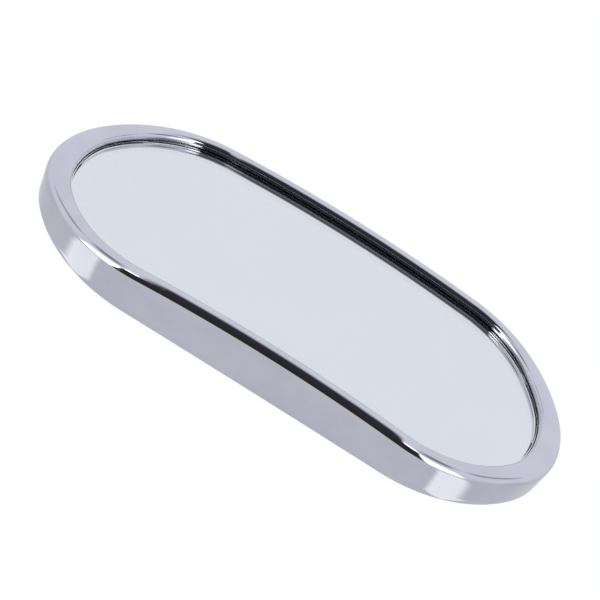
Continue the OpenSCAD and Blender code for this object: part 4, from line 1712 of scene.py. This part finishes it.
@dataclass
class Foot:
    """The round foot, its gasket and clevis, and the pivot with its washers, spring and nut."""

    pivot: Place
    radius: float = 24.0
    gasket: float = 1.5
    thickness: float = 5.0
    clevis_r: float = 12.0
    screw_circle_r: float = 17.0
    hole_r: float = 2.3
    head_r: float = 4.2
    ear_in: float = 4.15
    ear_t: float = 4.0
    washer_t: float = 0.6
    washer_r: float = 7.0
    bolt_r: float = 2.5
    bolt_head_r: float = 4.6
    bolt_head_t: float = 3.0
    spring_t: float = 0.8
    spring_r: float = 5.3
    nut_af: float = 8.0
    nut_hex: float = 3.4

    def hole_spots(self, z: float) -> list[Place]:
        """Frames at the three screw holes, with +Z down, out of the foot's lower face.

        Args:
            z: height of the face, in millimetres.

        Returns:
            One frame for each hole.
        """
        spots = []
        for i in range(3):
            a = math.radians(90 + 120 * i)
            at = Vector((self.screw_circle_r * math.cos(a), self.screw_circle_r * math.sin(a), z)) * MM
            spots.append(Place(at, Vector((0, 0, -1)), Vector((1, 0, 0))))
        return spots

    def build_base(self, bench: Bench) -> None:
        """Builds the flange and the gasket.

        Args:
            bench: where pieces are dressed and put on their bodies.
        """
        top, bottom = -self.gasket, -self.gasket - self.thickness
        base = lathe(
            "foot_flange",
            rounded(
                [(0, bottom, 0), (self.clevis_r + 0.6, bottom, 0),
                 (self.radius - 0.2, bottom, 1.8), (self.radius, top - 1.2, 0.5), (self.radius, top, 0.25),
                 (0, top, 0)],
                steps=8,
            ),
            LEVEL, steps=144,
        )
        sink = self.head_r + 0.15
        holes = [
            lathe(
                "sink",
                [(0, -6), (self.hole_r, -6), (self.hole_r, -self.hole_r), (sink, -0.02), (sink, 1), (0, 1)],
                spot, steps=48,
            )
            for spot in self.hole_spots(bottom)
        ]
        neck = LEVEL.shifted(z=top)
        holes.append(
            lathe("neck", [(0, -6), (2.8, -6), (2.8, -2.6), (4.95, -0.02), (4.95, 1), (0, 1)], neck, steps=48)
        )
        bench.fit(combined(base, holes, Merge.CUT), Slot.CHROME, "foot", "foot_base")
        edge = self.radius - 0.8
        seal = [(0, top, 0), (edge, top, 0.3), (edge, -0.1, 0.1)]
        for r in (22.4, 21.0, 12.0, 10.4):
            seal += [(r, -0.1, 0.05), (r - 0.25, 0, 0.05), (r - 0.75, 0, 0.05), (r - 1.0, -0.1, 0.05)]
        pad = lathe("ribbed_gasket", rounded([*seal, (0, -0.1, 0)], steps=2), LEVEL, steps=120)
        cuts = [
            lathe("hole", [(0, -3), (self.hole_r, -3), (self.hole_r, 1), (0, 1)], spot, steps=32)
            for spot in self.hole_spots(top)
        ]
        bench.fit(combined(pad, cuts, Merge.CUT), Slot.RUBBER, "foot", "foot_gasket")

    def build_pivot(self, bench: Bench) -> None:
        """Builds the bolt, washers, spring and acorn nut.

        Args:
            bench: where pieces are dressed and put on their bodies.
        """
        out = self.ear_in + self.ear_t
        far = out + self.spring_t + 4.0
        bolt = lathe(
            "pivot_cap_bolt",
            rounded(
                [(0, -out - self.bolt_head_t, 0), (self.bolt_head_r, -out - self.bolt_head_t, 0.9),
                 (self.bolt_head_r, -out, 0.2), (self.bolt_r, -out, 0.15), (self.bolt_r, far - 0.5, 0.2),
                 (self.bolt_r - 0.5, far, 0.1), (0, far, 0)],
                steps=6,
            ),
            self.pivot,
        )
        corner = 1.5 / math.cos(math.pi / 6)
        low = -out - self.bolt_head_t
        drive = lathe(
            "socket", [(corner, low - 1), (corner, low + 1.5), (0.0, low + 1.9)], self.pivot, steps=6
        )
        bench.fit(combined(bolt, [drive], Merge.CUT), Slot.CHROME, "foot", "pivot_bolt")
        disc = lathe(
            "coned_disc_spring",
            rounded(
                [(self.bolt_r + 0.05, out + 0.3, 0.05), (self.spring_r, out, 0.05),
                 (self.spring_r, out + 0.45, 0.08), (self.bolt_r + 0.05, out + self.spring_t, 0.08)],
                loop=True, steps=3,
            ),
            self.pivot, loop=True,
        )
        bench.fit(disc, Slot.SPRING_STEEL, "foot", "disc_spring")
        seat = self.pivot.shifted(z=out + self.spring_t)
        nut = hexagon("acorn_nut", self.nut_af, self.nut_hex, 0.0, seat)
        dome_r = self.nut_af / 2 - 0.1
        dome = [(0.0, 1.0), (dome_r, 1.0), *arc(0, self.nut_hex - 0.6, dome_r, 0, 90, 12)]
        shell = lathe("dome", dome, seat, steps=72)
        bore = lathe("bore", [(0, -1), (2.52, -1), (2.52, 4.2), (0, 5.0)], seat, steps=48)
        nut = combined(combined(nut, [shell], Merge.ADD), [bore], Merge.CUT)
        bench.fit(nut, Slot.CHROME, "foot", "pivot_nut")
        washers = []
        for low in (-self.ear_in, self.ear_in - self.washer_t):
            high = low + self.washer_t
            outline = [(self.bolt_r + 0.05, low, 0.08), (self.washer_r, low, 0.12),
                       (self.washer_r, high, 0.12), (self.bolt_r + 0.05, high, 0.08)]
            washers.append(
                lathe("nylon_friction_washers", rounded(outline, True, 3), self.pivot, loop=True, steps=72)
            )
        bench.fit(combined(washers[0], washers[1:], Merge.ADD), Slot.NYLON, "foot", "friction_washers")

    def build(self, bench: Bench) -> None:
        """Builds every piece of the foot.

        Args:
            bench: where pieces are dressed and put on their bodies.
        """
        self.build_base(bench)
        bench.fit(
            machined_copy("foot_clevis", "foot_clevis_forging", 0.45), Slot.CHROME, "foot", "foot_clevis"
        )
        screw = machined_copy("clevis_screw", "clevis_flat_screw", 0.12)
        bench.fit(screw, Slot.BLACK_STEEL, "foot", "clevis_screw")
        self.build_pivot(bench)


# ---------------------------------------------------------------- the studio


def radians(*degrees: float) -> tuple[float, ...]:
    """Turns several angles in degrees to radians."""
    return tuple(math.radians(d) for d in degrees)


@dataclass(frozen=True)
class Seam:
    """A darker seam of the tent: its limits by turn and by side, how soft it is, and how dark."""

    turn_from: float
    turn_to: float
    side_from: float
    side_to: float
    soft: float
    depth: float


@dataclass
class Studio:
    """A pale light tent with two tall softboxes, one dark side behind the camera, a floor and the camera."""

    head: HeadShape
    elevation: float = 0.696
    azimuth: float = 0.018
    roll: float = 0.547
    distance: float = 0.888
    target_z: float = 12.5
    lens: float = 146.36
    shift: tuple[float, float] = (-0.01159, 0.00385)
    floor_z: float = -1.25
    tent_front: str = "#EAEAF0"
    tent_back: str = "#D0D2D6"
    dark_low: str = "#342F2C"
    dark_high: str = "#33343C"
    shade: str = "#67666B"
    fade_from: float = math.radians(-15)
    fade_to: float = math.radians(25)
    dark_to: float = math.radians(129)
    gap_high: float = math.radians(10.8)
    gap_low: float = math.radians(22.5)
    box_from: float = math.radians(46)
    box_near: float = math.radians(20)
    box_reach: float = math.radians(50)
    box_edge: float = math.radians(3)
    box_strength: float = 2.4
    table_strength: float = 1.11
    back_turns: tuple[float, ...] = radians(70, 165)
    gap_turns: tuple[float, ...] = radians(56, 64)
    gap_edge: tuple[float, ...] = radians(-1.2, 1.8)
    reach_turns: tuple[float, ...] = radians(56, 88)
    warm_turns: tuple[float, ...] = radians(56, 84)
    table_turns: tuple[float, ...] = radians(147, 178, 2)
    table_sides: tuple[float, ...] = radians(25, 37.5, 1.6)
    dark_edge: float = math.radians(2)
    no_limit: float = -4.0  # below every turn
    seam_ends: float = math.radians(4)
    seams: tuple[Seam, ...] = (
        Seam(*radians(-34, 20, 47, 56, 6), depth=0.72),
        Seam(*radians(18, 46, 23, 42, 6), depth=0.85),
    )

    def maths(
        self, tree: Tree, operation: str, first: Socket | float, second: Socket | float = 0.0
    ) -> Socket:
        """One step of arithmetic on values or sockets."""
        return add_node(tree, "ShaderNodeMath", {0: first, 1: second}, operation=operation).outputs[0]

    def eased(
        self, tree: Tree, value: Socket, low: float, high: float, start: float = 0.0, end: float = 1.0
    ) -> Socket:
        """Goes smoothly from one number to another between two limits.

        Args:
            tree: the node tree.
            value: the socket that is compared with the limits.
            low: the limit at which the change starts.
            high: the limit at which it ends.
            start: the number below the lower limit.
            end: the number above the upper one.

        Returns:
            The socket with the number.
        """
        limits = {"Value": value, 1: low, 2: high, 3: start, 4: end}
        return add_node(tree, "ShaderNodeMapRange", limits, interpolation_type="SMOOTHSTEP").outputs[0]

    def band(self, tree: Tree, value: Socket, low: float, high: float, soft: float) -> Socket:
        """1 where a value lies between two limits, falling to 0 softly outside them.

        Args:
            tree: the node tree.
            value: the socket that is compared with the limits.
            low: the lower limit.
            high: the upper limit.
            soft: half the width of each edge.

        Returns:
            The socket with the share.
        """
        rise = self.eased(tree, value, low - soft, low + soft)
        fall = self.eased(tree, value, high - soft, high + soft, 1.0, 0.0)
        return self.maths(tree, "MULTIPLY", rise, fall)

    def product(self, tree: Tree, *values: Socket | float) -> Socket:
        """The product of several values.

        Args:
            tree: the node tree.
            values: sockets or numbers.

        Returns:
            The socket with the product.
        """
        total = values[0]
        for value in values[1:]:
            total = self.maths(tree, "MULTIPLY", total, value)
        return total

    def mixed(self, tree: Tree, share: Socket, first: Socket | Colour, second: Socket | Colour) -> Socket:
        """Mixes two colours, each a socket or a linear colour.

        Args:
            tree: the node tree.
            share: the share of the second colour.
            first: the colour where the share is 0.
            second: the colour where the share is 1.

        Returns:
            The socket with the mixture.
        """
        node = add_node(tree, "ShaderNodeMix", {"Factor": share, 6: first, 7: second}, data_type="RGBA")
        return node.outputs[2]

    def build_world(self) -> None:
        """Builds the tent by direction: turn is the angle from the glass's normal, down to the camera."""
        world = bpy.data.worlds.new("light_tent")
        bpy.context.scene.world = world
        world.use_nodes = True
        tree = world.node_tree
        tree.nodes.clear()
        where = add_node(tree, "ShaderNodeTexCoord").outputs["Generated"]
        xyz = add_node(tree, "ShaderNodeSeparateXYZ", {0: where}).outputs
        down = self.maths(tree, "MULTIPLY", xyz[2], -1.0)
        out = self.maths(tree, "MULTIPLY", xyz[1], -1.0)
        turn = self.maths(tree, "ARCTAN2", down, out)
        side = self.maths(tree, "ABSOLUTE", self.maths(tree, "ARCSINE", xyz[0]))
        far = self.maths(tree, "ABSOLUTE", turn)
        back = self.eased(tree, far, *self.back_turns)
        colour = self.mixed(tree, back, linear(self.tent_front), linear(self.tent_back))
        for seam in self.seams:
            across = self.band(tree, turn, seam.turn_from, seam.turn_to, seam.soft + self.seam_ends)
            along = self.band(tree, side, seam.side_from, seam.side_to, seam.soft)
            colour = self.mixed(
                tree, self.product(tree, across, along, seam.depth), colour, linear(self.shade)
            )
        # The gap between the boxes widens downwards, so the dark half-width is a function of the turn
        gap = self.eased(tree, turn, *self.gap_turns, self.gap_high, self.gap_low)
        outside = self.eased(tree, self.maths(tree, "SUBTRACT", side, gap), *self.gap_edge)
        inside = self.maths(tree, "SUBTRACT", 1.0, outside)
        reach = self.eased(tree, turn, *self.reach_turns, self.box_near, self.box_reach)
        within = self.eased(tree, self.maths(tree, "SUBTRACT", reach, side), -self.box_edge, self.box_edge)
        box = self.product(
            tree, self.band(tree, turn, self.box_from, self.dark_to, self.box_edge), outside, within
        )
        white = (self.box_strength, self.box_strength, self.box_strength * 1.02, 1.0)
        colour = self.mixed(tree, box, colour, white)
        # The white table shows the boxes again, dimmer
        table = self.product(
            tree, self.band(tree, turn, *self.table_turns), self.band(tree, side, *self.table_sides)
        )
        lit = (self.table_strength, self.table_strength * 1.02, self.table_strength, 1.0)
        colour = self.mixed(tree, table, colour, lit)
        warm = self.eased(tree, turn, *self.warm_turns)
        dark = self.mixed(tree, warm, linear(self.dark_high), linear(self.dark_low))
        fall = self.band(tree, turn, self.no_limit, self.dark_to, self.dark_edge)
        fade = self.eased(tree, turn, self.fade_from, self.fade_to)
        colour = self.mixed(tree, self.product(tree, fade, fall, inside), colour, dark)
        tent = add_node(tree, "ShaderNodeBackground", {"Color": colour, "Strength": 1.0})
        backdrop = add_node(tree, "ShaderNodeBackground", {"Color": (1, 1, 1, 1), "Strength": 1.0})
        seen = add_node(tree, "ShaderNodeLightPath").outputs["Is Camera Ray"]
        mix = add_node(tree, "ShaderNodeMixShader", {0: seen, 1: tent.outputs[0], 2: backdrop.outputs[0]})
        add_node(tree, "ShaderNodeOutputWorld", {"Surface": mix.outputs[0]})

    def build_floor(self) -> None:
        """Lays a plain pale floor, far enough below that the chrome mirrors only the tent."""
        bpy.ops.mesh.primitive_plane_add(size=12, location=(0, 0, self.floor_z))
        floor = bpy.context.object
        floor.name = "studio_floor"
        material = bpy.data.materials.new("pale_floor")
        material.use_nodes = True
        shader = material.node_tree.nodes["Principled BSDF"]
        shader.inputs["Base Color"].default_value = linear("#F4F4F3")
        shader.inputs["Roughness"].default_value = 0.8
        floor.data.materials.append(material)
        floor.visible_glossy = False
        floor.visible_transmission = False

    def build_key(self) -> None:
        """Hangs one large soft lamp in front of the object, which only matt surfaces show."""
        lamp = bpy.data.lights.new("key_softbox", "AREA")
        lamp.energy, lamp.size = 14.0, 1.4
        obj = bpy.data.objects.new("key_softbox", lamp)
        obj.location = (-0.9, -1.5, 1.3)
        obj.rotation_mode = "QUATERNION"
        obj.rotation_quaternion = Vector((-0.9, -1.5, 1.3)).to_track_quat("Z", "Y")
        obj.visible_camera = obj.visible_glossy = obj.visible_transmission = False
        bpy.context.scene.collection.objects.link(obj)

    def build_camera(self) -> None:
        """Stands the camera below and in front, tilted as the object is seen."""
        turn = self.head.place.matrix().to_3x3()
        ca, sa = math.cos(self.azimuth), math.sin(self.azimuth)
        ce, se = math.cos(self.elevation), math.sin(self.elevation)
        back = turn @ Vector((sa * ce, -ca * ce, se))
        right = turn @ Vector((ca, sa, 0.0))
        up = back.cross(right)
        cr, sr = math.cos(self.roll), math.sin(self.roll)
        across, above = right * cr + up * sr, up * cr - right * sr
        centre = self.head.place.matrix() @ Vector((0, 0, self.target_z * MM))
        data = bpy.data.cameras.new("camera")
        data.sensor_width = 36.0
        data.lens = self.lens
        data.shift_x, data.shift_y = self.shift
        data.clip_start, data.clip_end = 0.02, 40.0
        camera = bpy.data.objects.new("camera", data)
        rotation = Matrix((across, above, back)).transposed().to_4x4()
        camera.matrix_world = Matrix.Translation(centre + back * self.distance) @ rotation
        bpy.context.scene.collection.objects.link(camera)
        bpy.context.scene.camera = camera

    def build(self) -> None:
        """Builds the studio."""
        bpy.context.scene.view_settings.view_transform = "Standard"
        self.build_camera()
        self.build_world()
        self.build_floor()
        self.build_key()


# ---------------------------------------------------------------- assembly


def main() -> None:
    """Builds the studio and the mirror, sub-assembly by sub-assembly."""
    logging.basicConfig(level=logging.INFO, format="%(name)s: %(message)s", stream=sys.stdout)
    head = HeadShape()
    Studio(head).build()
    bench = Bench(Finishes().build())
    side = Vector((1, 0, 0))
    ball = Vector(joint("ball_tilt")["pos_m"])
    arm = Place(ball, Vector(joint("arm_twist")["axis"]), side)
    cover_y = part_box("socket_flange")[0].y + (1.5 * MM)
    swivel = Place(Vector((0, cover_y, ball.z)), Vector((0, 1, 0)), side)
    pivot = Place(Vector(joint("arm_swing")["pos_m"]), Vector((1, 0, 0)), Vector((0, 0, -1)))
    HeadFrame(head).build(bench)
    GlassStack(head).build(bench)
    BackCover(head).build(bench)
    LevellingSwivel(swivel).build(bench)
    BallJoint(arm).build(bench)
    Arm(arm).build(bench)
    Foot(pivot).build(bench)
    LOG.info("%d pieces", len(bench.pieces))


if __name__ == "__main__":
    main()
